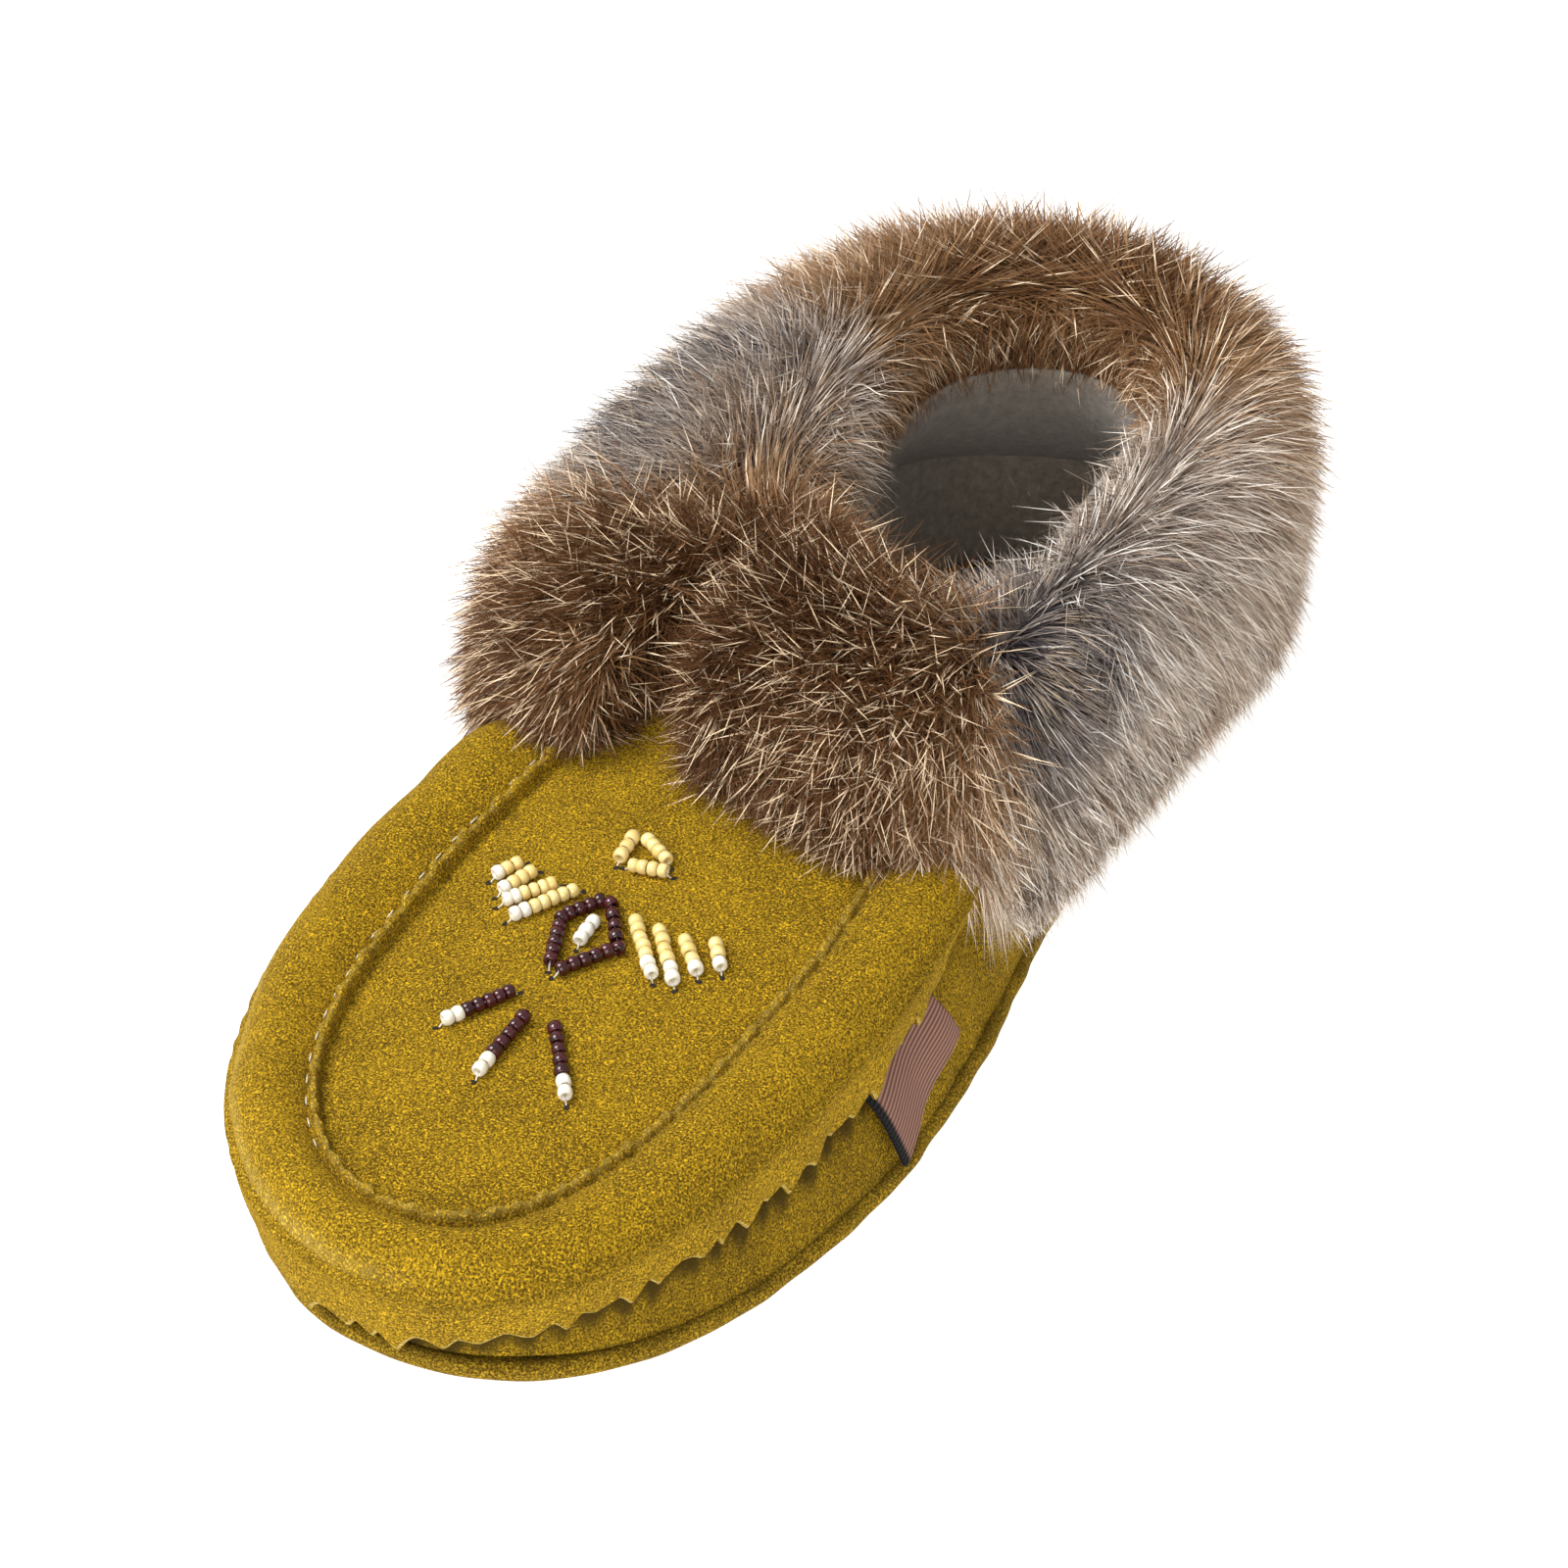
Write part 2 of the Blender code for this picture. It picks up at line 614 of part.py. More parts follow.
def label_place(column, row):
    along = column / 8
    down = (0.0, 0.35, 0.70, 1.0, 1.0, 0.70, 0.35, 0.0)[row % 8]
    top_turn = smooth_value(LABEL_ROWS, along, 1)
    free_turn = smooth_value(LABEL_ROWS, along, 3)
    turn = top_turn + (free_turn - top_turn) * down
    top = smooth_value(LABEL_ROWS, along, 2)
    free = smooth_value(LABEL_ROWS, along, 4)
    z = (top + (free - top) * down) * ROLL_HEIGHT_AT_TOE
    x, y = EDGE.at(turn, 0)
    foot = sole_top(y) + PART_GAP
    share = (z - foot) / (roll_height(y) - foot)
    out = wall_out(turn, max(share, 0)) + 1.6 * PART_GAP
    out += 1.5 * MM * down * (0.6 + 0.4 * math.cos(2 * math.pi * along))
    if row % 8 < 4:
        out += LABEL_THICKNESS
    x, y = EDGE.at(turn, out)
    return x, y, z


laid_grid(bm, 9, 9, label_place)
bmesh.ops.remove_doubles(bm, verts=bm.verts, dist=0.00001)
bmesh.ops.holes_fill(bm, edges=[e for e in bm.edges if e.is_boundary], sides=10)
finished(bm, "label", woven)


def bead_string(name, places, material):
    """A string of barrel-shaped beads fused on their thread along a line of bead centres."""
    bm = bmesh.new()
    rings = []
    for k, place in enumerate(places):
        before = places[max(k - 1, 0)]
        after = places[min(k + 1, len(places) - 1)]
        along = (after - before).normalized()
        half = 0.5 * min((place - other).length for other in (before, after) if other != place)
        half = min(half, 0.5 * BEAD_DIAMETER)
        rings.append((place - along * half * 0.98, along, THREAD_DIAMETER / 2))
        rings.append((place - along * half * 0.42, along, BEAD_DIAMETER / 2))
        rings.append((place + along * half * 0.42, along, BEAD_DIAMETER / 2))
    rings.append((places[-1] + along * half * 0.98, along, THREAD_DIAMETER / 2))

    def turned(column, row):
        centre, along, radius = rings[row]
        side = along.cross(Vector((0.0, 0.0, 1.0))).normalized()
        up = side.cross(along)
        angle = 2 * math.pi * (column % 6) / 6
        return centre + radius * (side * math.cos(angle) + up * math.sin(angle))

    laid_grid(bm, 7, len(rings), turned)
    bmesh.ops.remove_doubles(bm, verts=bm.verts, dist=0.00001)
    bmesh.ops.holes_fill(bm, edges=[e for e in bm.edges if e.is_boundary], sides=6)
    finished(bm, name, material)


def on_plug(x, y):
    """Centre of a bead lying on the plug at a plan position."""
    return Vector((x, y, plug_height(x, y) + BEAD_DIAMETER / 2 + 1.5 * PART_GAP))


# Bead rows, then the diamond's chain
for name, start_x, start_y, end_x, end_y, count in BEAD_ROWS:
    shares = [k / (count - 1) for k in range(count)]
    line = [(start_x + (end_x - start_x) * s, start_y + (end_y - start_y) * s) for s in shares]
    places = [on_plug(x * BALL_WIDTH, y * BALL_WIDTH) for x, y in line]
    bead_string(name, places, maroon if name.startswith("tail") else cream)
places = []
for (x, y, count), (next_x, next_y, _) in zip(DIAMOND_CORNERS[:-1], DIAMOND_CORNERS[1:]):
    for step in range(count):
        share = step / count
        places.append(on_plug((x + (next_x - x) * share) * BALL_WIDTH, (y + (next_y - y) * share) * BALL_WIDTH))
places.append(on_plug(DIAMOND_CORNERS[-1][0] * BALL_WIDTH, DIAMOND_CORNERS[-1][1] * BALL_WIDTH))
bead_string("diamond_beads", places, maroon)
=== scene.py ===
import bpy
import bmesh
import math
import numpy as np
from mathutils import Matrix, Vector
from mathutils.bvhtree import BVHTree


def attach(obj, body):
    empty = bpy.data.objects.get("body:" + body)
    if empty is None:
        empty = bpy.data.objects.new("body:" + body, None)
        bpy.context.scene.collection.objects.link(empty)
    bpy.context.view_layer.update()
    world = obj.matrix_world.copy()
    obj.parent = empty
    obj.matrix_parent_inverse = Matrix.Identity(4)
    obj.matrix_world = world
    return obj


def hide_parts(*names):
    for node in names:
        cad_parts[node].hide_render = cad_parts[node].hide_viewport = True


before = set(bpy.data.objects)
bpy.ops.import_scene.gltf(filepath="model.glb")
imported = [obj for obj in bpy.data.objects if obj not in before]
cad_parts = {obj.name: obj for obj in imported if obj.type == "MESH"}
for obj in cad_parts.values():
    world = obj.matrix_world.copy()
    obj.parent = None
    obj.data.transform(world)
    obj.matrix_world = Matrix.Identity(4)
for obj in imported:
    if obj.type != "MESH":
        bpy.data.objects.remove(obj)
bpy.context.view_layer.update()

# Floor, light and camera
# A plain pale floor in soft studio light. The camera looks down on the toe from the shoe's inner side.
FLOOR_HALF_WIDTH = 4.0


def fill(tree, node, **inputs):
    """Give each socket a constant or another node's output. An underscore stands for a space in its name."""
    for name, value in inputs.items():
        socket = node.inputs[name.replace("_", " ")]
        if isinstance(value, bpy.types.NodeSocket):
            tree.links.new(value, socket)
        else:
            socket.default_value = value
    return node


def new_material(name, **constants):
    """A node material with constants on its Principled sockets. Gives back material, tree and shader."""
    material = bpy.data.materials.new(name)
    material.use_nodes = True
    tree = material.node_tree
    return material, tree, fill(tree, tree.nodes["Principled BSDF"], **constants)


bm = bmesh.new()
bmesh.ops.create_grid(bm, x_segments=1, y_segments=1, size=FLOOR_HALF_WIDTH)
floor_mesh = bpy.data.meshes.new("floor")
bm.to_mesh(floor_mesh)
bm.free()
floor = bpy.data.objects.new("floor", floor_mesh)
bpy.context.scene.collection.objects.link(floor)
paper, _, _ = new_material(
    "pale floor", Base_Color=(0.50, 0.50, 0.50, 1), Roughness=0.9, Specular_IOR_Level=0.0,
    Emission_Color=(1, 1, 1, 1), Emission_Strength=0.93)
floor_mesh.materials.append(paper)

room = bpy.data.worlds.new("studio")
bpy.context.scene.world = room
room.use_nodes = True
room.node_tree.nodes["Background"].inputs["Color"].default_value = (1.0, 1.0, 1.0, 1)
room.node_tree.nodes["Background"].inputs["Strength"].default_value = 0.52
bpy.context.scene.view_settings.view_transform = "Standard"


def softbox(name, place, aim, size, power):
    """A square area lamp that faces a point."""
    lamp = bpy.data.lights.new(name, "AREA")
    lamp.size = size
    lamp.energy = power
    holder = bpy.data.objects.new(name, lamp)
    bpy.context.scene.collection.objects.link(holder)
    holder.location = place
    holder.rotation_euler = (Vector(aim) - Vector(place)).to_track_quat("-Z", "Y").to_euler()


softbox("overhead softbox", (-0.62, -0.30, 1.0), (0, 0, 0.03), 0.6, 15.0)
softbox("near fill", (0.42, -1.18, 0.58), (0, 0, 0.03), 0.8, 8.4)

CAMERA_LENS = 108.1
CAMERA_DISTANCE = 0.840114
CAMERA_AIM = Vector((-0.028237, 0.057014, -0.009486))
azimuth, elevation, roll = (math.radians(angle) for angle in (27.099, 32.429, 0.487))
camera_data = bpy.data.cameras.new("camera")
camera_data.sensor_width = 36
camera_data.lens = CAMERA_LENS
camera = bpy.data.objects.new("camera", camera_data)
bpy.context.scene.collection.objects.link(camera)
back = Vector((
    math.sin(azimuth) * math.cos(elevation),
    -math.cos(azimuth) * math.cos(elevation),
    math.sin(elevation),
))
level = Vector((0, 0, 1)).cross(back).normalized()
upright = back.cross(level)
right = level * math.cos(roll) + upright * math.sin(roll)
up = upright * math.cos(roll) - level * math.sin(roll)
turn_matrix = Matrix((right, up, back)).transposed().to_4x4()
camera.matrix_world = Matrix.Translation(CAMERA_AIM + back * CAMERA_DISTANCE) @ turn_matrix
bpy.context.scene.camera = camera

# Sole: a soft suede plate cut to the foot's outline
# Its rim is a proud rounded lip. The toe lifts off the floor a little.
# The side wall is sewn to its top just inside the lip, which ripples there.
SOLE_LENGTH = 0.256
BALL_WIDTH = 0.0955
BALL_LINE = -0.0438
TOE_SKEW = 0.0033
HEEL_CAP = 0.035
TOE_REACH = 0.083
SOLE_THICKNESS = 0.0035
TOE_SPRING = 0.0035
SPRING_LENGTH = 0.042
PART_GAP = 0.0003
WAIST_ROWS = (
    # back, left, right
    (0.00, 1.000, 1.000),
    (0.18, 0.968, 0.960),
    (0.43, 0.868, 0.842),
    (0.70, 0.760, 0.740),
    (1.00, 0.690, 0.690),
)


def along_rows(rows, place, column):
    """Smooth curve through one column of a table, for an array of places along its first column."""
    xs = np.array([row[0] for row in rows], float)
    ys = np.array([row[column] for row in rows], float)
    slopes = np.empty_like(ys)
    slopes[1:-1] = (ys[2:] - ys[:-2]) / (xs[2:] - xs[:-2])
    slopes[0] = (ys[1] - ys[0]) / (xs[1] - xs[0])
    slopes[-1] = (ys[-1] - ys[-2]) / (xs[-1] - xs[-2])
    place = np.clip(np.asarray(place, float), xs[0], xs[-1])
    k = np.clip(np.searchsorted(xs, place, side="right") - 1, 0, len(xs) - 2)
    span = xs[k + 1] - xs[k]
    t = (place - xs[k]) / span
    low = (2 * t ** 3 - 3 * t ** 2 + 1) * ys[k] + (t ** 3 - 2 * t ** 2 + t) * span * slopes[k]
    high = (3 * t ** 2 - 2 * t ** 3) * ys[k + 1] + (t ** 3 - t ** 2) * span * slopes[k + 1]
    return low + high


def half_outline(side):
    """Sole edge from toe tip to heel end on one side."""
    t = math.pi / 2 * (1 - np.arange(240) / 240)
    toe_x = side * BALL_WIDTH / 2 * np.cos(t) ** 0.894 + TOE_SKEW * np.sin(t) ** 3
    toe_y = BALL_LINE - TOE_REACH * np.sin(t) ** 0.96
    heel_centre = BALL_LINE - TOE_REACH + SOLE_LENGTH - HEEL_CAP
    share = np.arange(200) / 200
    waist_x = side * BALL_WIDTH / 2 * along_rows(WAIST_ROWS, share, 2 if side > 0 else 1)
    waist_y = BALL_LINE + share * (heel_centre - BALL_LINE)
    t = math.pi / 2 * np.arange(101) / 100
    heel_x = side * BALL_WIDTH / 2 * WAIST_ROWS[-1][1] * np.cos(t)
    heel_y = heel_centre + HEEL_CAP * np.sin(t)
    xs = np.concatenate([toe_x, waist_x, heel_x])
    ys = np.concatenate([toe_y, waist_y, heel_y])
    return np.stack([xs, ys], axis=1)


def walked(points):
    return np.concatenate([[0.0], np.cumsum(np.hypot(*np.diff(points, axis=0).T))])


inner_half = half_outline(1)
outer_half = half_outline(-1)
edge_turns = np.concatenate([
    -walked(outer_half)[::-1] / walked(outer_half)[-1],
    walked(inner_half)[1:] / walked(inner_half)[-1],
])
edge_points = np.concatenate([outer_half[::-1], inner_half[1:]])
edge_length = walked(edge_points)[-1]
wrapped = np.concatenate([edge_points[-13:-1], edge_points, edge_points[1:13]])
headings = np.gradient(wrapped, axis=0)
kernel = np.hanning(15)[1:-1]
headings = np.stack([np.convolve(headings[:, c], kernel, "same") for c in (0, 1)], axis=1)[12:-12]
headings /= np.linalg.norm(headings, axis=1)[:, None]


def edge_at(turn, out):
    """Plan position at a turn round the sole edge (-1 to 1, toe tip at 0), moved outwards."""
    x = np.interp(turn, edge_turns, edge_points[:, 0])
    y = np.interp(turn, edge_turns, edge_points[:, 1])
    nx = np.interp(turn, edge_turns, headings[:, 1])
    ny = -np.interp(turn, edge_turns, headings[:, 0])
    norm = np.hypot(nx, ny)
    return x + out * nx / norm, y + out * ny / norm


def sole_top(y):
    share = np.clip((BALL_LINE - TOE_REACH + SPRING_LENGTH - y) / SPRING_LENGTH, 0, 1)
    return SOLE_THICKNESS + TOE_SPRING * share ** 2


def laid_grid(bm, places):
    """A grid whose vertices are put at an array of places, rows by columns by three."""
    rows, columns = places.shape[:2]
    made = bmesh.ops.create_grid(bm, x_segments=columns - 1, y_segments=rows - 1, size=0.5)["verts"]
    made.sort(key=lambda v: (round(v.co.y, 6), round(v.co.x, 6)))
    flat = places.reshape(-1, 3)
    for vert, place in zip(made, flat):
        vert.co = place
    return made


def hand_over(bm, name, *finishes):
    """Weld, turn outwards, smooth and link as a named piece."""
    bmesh.ops.remove_doubles(bm, verts=bm.verts, dist=0.000002)
    bmesh.ops.recalc_face_normals(bm, faces=bm.faces)
    for face in bm.faces:
        face.smooth = True
    mesh = bpy.data.meshes.new(name)
    bm.to_mesh(mesh)
    bm.free()
    piece = bpy.data.objects.new(name, mesh)
    bpy.context.scene.collection.objects.link(piece)
    for finish in finishes:
        mesh.materials.append(finish)
    return piece


def wave(turn, *tones):
    """Slow uneven wave round the shoe from (cycles, share, start) tones."""
    return sum(share * np.sin(math.pi * cycles * turn + start) for cycles, share, start in tones)


def across_rows(loop, steps):
    """Rows that join the two sides of a closed loop of places, toe tip first."""
    count = len(loop)
    half = count // 2
    near = loop[:half + 1]
    far = loop[(count - np.arange(half + 1)) % count]
    share = np.linspace(0, 1, steps + 1)[:, None, None]
    return far + (near - far) * share


def closed(places):
    """The same rows, with their first column again at the end."""
    return np.concatenate([places, places[:, :1]], axis=1)


around = np.concatenate([np.linspace(0, 1, 241), np.linspace(-1, 0, 241)[1:-1]])
sole_rows = (
    # metres out from the foot's outline, share of the thickness
    (-0.0016, 0.00),
    (-0.0007, 0.06),
    (-0.0001, 0.24),
    (0.0002, 0.48),
    (0.0000, 0.72),
    (-0.0006, 0.92),
    (-0.0013, 1.02),
    (-0.0020, 0.96),
)
lip_ripple = wave(around, (31, 0.00022, 0.4), (57, 0.00016, 2.0), (13, 0.0002, 1.1))
sole_rings = []
for out, share in sole_rows:
    x, y = edge_at(around, out + lip_ripple * (0.3 + share))
    z = sole_top(y) - SOLE_THICKNESS + share * SOLE_THICKNESS + lip_ripple * share * 0.8
    sole_rings.append(np.stack([x, y, z], axis=1))
sole_rings = np.array(sole_rings)
bm = bmesh.new()
laid_grid(bm, closed(sole_rings))
laid_grid(bm, across_rows(sole_rings[0], 6))
laid_grid(bm, across_rows(sole_rings[-1], 6))

# The suede's nap: short fibres brushed into soft light and dark patches, used by every suede piece.
FIBRE_SCALE = 2900
PATCH_SCALE = 90
nap = bpy.data.node_groups.new("suede nap", "ShaderNodeTree")
for socket_name in ("Fibre Scale", "Patch Scale"):
    nap.interface.new_socket(socket_name, in_out="INPUT", socket_type="NodeSocketFloat")
for socket_name in ("Tone", "Fibre"):
    nap.interface.new_socket(socket_name, in_out="OUTPUT", socket_type="NodeSocketFloat")


def add_node(tree, kind, **inputs):
    return fill(tree, tree.nodes.new("ShaderNode" + kind), **inputs)


def colour_mix(tree, share, below, above):
    """Mix two colours, each a constant or an output."""
    mix = tree.nodes.new("ShaderNodeMix")
    mix.data_type = "RGBA"
    return fill(tree, mix, Factor=share, A=below, B=above).outputs["Result"]


def two_tones(tree, share, low_at, low, high_at, high):
    """A ramp from one colour to another."""
    ramp = add_node(tree, "ValToRGB", Fac=share)
    for element, position, colour in zip(ramp.color_ramp.elements, (low_at, high_at), (low, high)):
        element.position = position
        element.color = (*colour, 1)
    return ramp.outputs["Color"]


def object_noise(tree, scale, **inputs):
    """Noise over the piece's own coordinates."""
    place = tree.nodes.new("ShaderNodeTexCoord").outputs["Object"]
    return add_node(tree, "TexNoise", Vector=place, Scale=scale, **inputs).outputs["Fac"]


def spread(tree, value, low, high):
    """Stretch a value to the full range from 0 to 1."""
    return add_node(tree, "MapRange", Value=value, From_Min=low, From_Max=high).outputs["Result"]


def add_bump(tree, height, strength, distance):
    return add_node(tree, "Bump", Height=height, Strength=strength, Distance=distance).outputs["Normal"]


nap_in = nap.nodes.new("NodeGroupInput")
nap_out = nap.nodes.new("NodeGroupOutput")
fibre = spread(nap, object_noise(nap, nap_in.outputs["Fibre Scale"], Detail=4, Roughness=0.6), 0.38, 0.62)
patch = spread(nap, object_noise(nap, nap_in.outputs["Patch Scale"], Detail=4, Roughness=0.6), 0.3, 0.7)
tone = add_node(nap, "Mix", Factor=0.84, A=patch, B=fibre).outputs["Result"]
fill(nap, nap_out, Tone=tone, Fibre=fibre)


def suede_finish(name, dark, light, shade_colour, depth):
    """Napped suede: tone from the nap group, with painted shade in the piece's creases and seams and a
    painted highlight where it catches the light.
    """
    finish, tree, shader = new_material(
        name, Roughness=0.95, Specular_IOR_Level=0.06, Sheen_Weight=0.06, Sheen_Roughness=0.6,
        Sheen_Tint=(1.0, 0.86, 0.45, 1))
    pile = tree.nodes.new("ShaderNodeGroup")
    pile.node_tree = nap
    fill(tree, pile, Fibre_Scale=FIBRE_SCALE, Patch_Scale=PATCH_SCALE)
    colour = two_tones(tree, pile.outputs["Tone"], 0.12, dark, 0.9, light)
    # Painted shade in creases and seams, then a painted highlight, each mixed in by its vertex attribute.
    for painted_kind, painted_colour in (("painted_shade", shade_colour), ("painted_highlight", (0.95, 0.68, 0.16))):
        painted_amount = tree.nodes.new("ShaderNodeAttribute")
        painted_amount.attribute_name = painted_kind
        colour = colour_mix(tree, painted_amount.outputs["Fac"], colour, (*painted_colour, 1))
    fill(tree, shader, Base_Color=colour, Normal=add_bump(tree, pile.outputs["Fibre"], 1.0, depth))
    return finish


def set_painted_light(piece, values, kind="painted_shade"):
    """Store how much painted shade, or painted highlight, each vertex gets."""
    layer = piece.data.attributes.new(kind, "FLOAT", "POINT")
    layer.data.foreach_set("value", np.clip(values, 0, 1).astype(np.float32))


def places_of(piece):
    """Vertex places of a piece as an array."""
    co = np.empty(len(piece.data.vertices) * 3)
    piece.data.vertices.foreach_get("co", co)
    return co.reshape(-1, 3)


NAP_DEPTH = 0.0004
sole_suede = suede_finish(
    "sole suede", (0.12, 0.065, 0.001), (0.78, 0.47, 0.028), (0.08, 0.045, 0.002), NAP_DEPTH)
sole = hand_over(bm, "sole_plate", sole_suede)
# Painted shade over the sole's top edge, where the side wall meets it.
set_painted_light(sole, np.clip((places_of(sole)[:, 2] - sole_top(places_of(sole)[:, 1])) / 0.0003 + 1, 0, 0.35))
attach(sole, "root")
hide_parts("sole")

# Upper: one suede shell
# A side wall sewn to the sole, a tuck, a puffed roll round the toe, a pintuck ridge and a flat plug in it.
# Behind the vamp it becomes the quarters, which rise to the collar rim under the fur.
WALL = 0.0022
ROLL_HEIGHT_AT_TOE = 0.0216
ROLL_RISE_PER_LENGTH = 0.109
PUFF_HEIGHT = 0.0056
RIDGE_HEIGHT = 0.0049
PLUG_EDGE_HEIGHT = 0.0025
PLUG_CROWN = 0.0016
QUARTER_HEIGHT = 0.064
VAMP_ROWS = (
    # turn, roll, ridge, pinked
    (-0.60, 0.110, 0.700, 1.05),
    (-0.37, 0.134, 0.672, 0.95),
    (-0.29, 0.153, 0.630, 0.72),
    (-0.22, 0.180, 0.510, 0.56),
    (-0.15, 0.199, 0.400, 0.50),
    (-0.07, 0.204, 0.310, 0.49),
    (0.00, 0.222, 0.290, 0.52),
    (0.07, 0.176, 0.430, 0.66),
    (0.15, 0.019, 0.590, 0.74),
    (0.22, -0.074, 0.700, 0.80),
    (0.29, -0.120, 0.780, 0.93),
    (0.37, -0.134, 0.775, 1.16),
    (0.60, -0.130, 0.760, 1.36),
)
ROLL_ROWS = (
    # across, rise, across_in, rise_in
    (0.000, 0.00, 0.170, 0.04),
    (0.100, 0.55, 0.230, 0.32),
    (0.320, 0.97, 0.360, 0.58),
    (0.600, 1.00, 0.600, 0.60),
    (0.830, 0.72, 0.800, 0.34),
    (0.930, 0.58, 0.920, 0.12),
)
QUARTER_ROWS = (
    # up, out
    (0.00, -0.55),
    (0.20, -0.60),
    (0.40, -0.60),
    (0.60, -1.00),
    (0.80, -1.70),
    (1.00, -2.30),
)
RIM_ROWS = (
    # turn, rim
    (0.00, 0.60),
    (0.50, 0.70),
    (0.56, 0.84),
    (0.64, 0.93),
    (0.78, 0.97),
    (1.00, 1.03),
)


def roll_height(y):
    toe = BALL_LINE - TOE_REACH - 0.22 * ROLL_HEIGHT_AT_TOE
    return ROLL_HEIGHT_AT_TOE + ROLL_RISE_PER_LENGTH * (y - toe)


def wall_out(turn, share):
    """Outward offset of the side wall at a share of its height below the roll."""
    overhang = along_rows(VAMP_ROWS, turn, 1) * ROLL_HEIGHT_AT_TOE
    foot = QUARTER_ROWS[0][1] * WALL
    tuck = np.minimum(-0.8 * WALL, overhang - 2 * WALL)
    return foot + (tuck - foot) * np.minimum(np.maximum(share, 0) / 0.68, 1) ** 1.6


def upper_ring(turn, ring, inside):
    """One ring of the upper for an array of turns: 0 at the foot, 12 at plug edge or collar rim."""
    overhang = along_rows(VAMP_ROWS, turn, 1) * ROLL_HEIGHT_AT_TOE
    width = overhang + along_rows(VAMP_ROWS, turn, 2) * ROLL_HEIGHT_AT_TOE
    inward = WALL if inside else 0.0
    height = roll_height(edge_at(turn, overhang)[1])
    foot = sole_top(edge_at(turn, overhang)[1]) + PART_GAP
    if ring <= 2:
        share = (0.0, 0.40, 0.68)[ring]
        out = wall_out(turn, share) - inward
        z = foot + share * (height - foot)
    elif ring == 3:
        out = overhang - (2.2 * WALL if inside else WALL)
        z = foot + (0.90 if inside else 0.86) * (height - foot)
    else:
        if ring <= 9:
            row = ROLL_ROWS[ring - 4]
            across = row[2 if inside else 0]
            rise = PUFF_HEIGHT * row[3 if inside else 1]
            if ring >= 8 and not inside:
                rise = rise + 0.0010 * np.clip((turn - 0.04) / 0.16, 0, 1)
        else:
            across = ((0.965, 1.035, 1.075), (0.99, 1.04, 1.09))[inside][ring - 10]
            rise = (RIDGE_HEIGHT, RIDGE_HEIGHT, PLUG_EDGE_HEIGHT)[ring - 10]
            rise = PLUG_EDGE_HEIGHT - WALL if inside else rise
        out = overhang - width * across
        z = roll_height(edge_at(turn, out)[1]) + rise
    blend = np.clip((np.abs(turn) - 0.44) / 0.12, 0, 1)
    blend = blend * blend * (3 - 2 * blend)
    quarter_foot = sole_top(edge_at(turn, 0)[1]) + PART_GAP
    rim = along_rows(RIM_ROWS, np.abs(turn), 1) * QUARTER_HEIGHT
    quarter_out = along_rows(QUARTER_ROWS, np.full_like(turn, ring / 12), 1) * WALL - inward
    out = out + (quarter_out - out) * blend
    z = z + (quarter_foot + ring / 12 * (rim - quarter_foot) - z) * blend
    x, y = edge_at(turn, out)
    return np.stack([x, y, z], axis=-1)


def finer(rings, steps):
    """Smooth extra rings between given ones, with its own number of steps in each gap."""
    padded = np.concatenate([2 * rings[:1] - rings[1:2], rings, 2 * rings[-1:] - rings[-2:-1]])
    made = []
    for k, count in enumerate(steps):
        a, b, c, d = padded[k:k + 4]
        for t in np.arange(count) / count:
            made.append(0.5 * (2 * b + (c - a) * t + (2 * a - 5 * b + 4 * c - d) * t ** 2
                               + (3 * b - a - 3 * c + d) * t ** 3))
    made.append(rings[-1])
    return np.array(made)


RING_STEPS = (7, 6, 6, 6, 6, 8, 8, 8, 6, 3, 4, 4)
columns = np.concatenate([np.linspace(0, 1, 241), np.linspace(-1, 0, 241)[1:-1]])
outer_rings = np.array([upper_ring(columns, k, False) for k in range(13)])
shell = finer(outer_rings, RING_STEPS)
ring_level = np.concatenate([k + np.arange(n) / n for k, n in enumerate(RING_STEPS)] + [[12.0]])

# Creases on the roll and wall: turn and ring level of each end, width, depth (plus is a ridge)
CREASES = (
    # turn_a, level_a, turn_b, level_b, width, depth
    (-0.215, 3.2, -0.165, 6.2, 0.012, -0.0007),
    (-0.130, 3.6, -0.040, 4.8, 0.010, -0.0009),
    (-0.150, 4.4, -0.020, 5.4, 0.012, 0.0006),
    (0.020, 3.4, 0.100, 4.6, 0.010, -0.0005),
    (0.110, 4.6, 0.150, 8.2, 0.009, -0.0005),
    (0.200, 3.3, 0.230, 7.6, 0.010, -0.0006),
    (0.285, 3.2, 0.330, 7.4, 0.012, -0.0008),
    (0.345, 4.0, 0.400, 7.9, 0.010, -0.0008),
    (-0.300, 4.2, -0.345, 8.0, 0.012, -0.0006),
    (-0.400, 4.2, -0.380, 8.4, 0.012, -0.0007),
    (0.075, 0.6, 0.120, 2.2, 0.010, -0.0006),
    (0.210, 0.4, 0.190, 2.4, 0.010, 0.0005),
    (0.420, 0.5, 0.450, 3.0, 0.014, -0.0010),
    (0.470, 2.0, 0.500, 8.0, 0.016, -0.0012),
)
outward = np.gradient(shell, axis=1)
upward = np.gradient(shell, axis=0)
face_out = np.cross(outward, upward)
face_out /= np.linalg.norm(face_out, axis=2)[:, :, None] + 1e-12
turn_grid = np.broadcast_to(columns, shell.shape[:2])
level_grid = np.broadcast_to(ring_level[:, None], shell.shape[:2])
relief = np.zeros(shell.shape[:2])
for turn_a, level_a, turn_b, level_b, width, depth in CREASES:
    run = np.array([(turn_b - turn_a), (level_b - level_a) * 0.006])
    rel = np.stack([turn_grid - turn_a, (level_grid - level_a) * 0.006], axis=-1)
    share = np.clip((rel @ run) / (run @ run), 0, 1)
    gap = np.linalg.norm(rel - share[..., None] * run, axis=-1)
    relief += 0.55 * depth * np.exp(-(gap / width) ** 2)
on_roll = np.exp(-((level_grid - 6.5) / 2.2) ** 2)
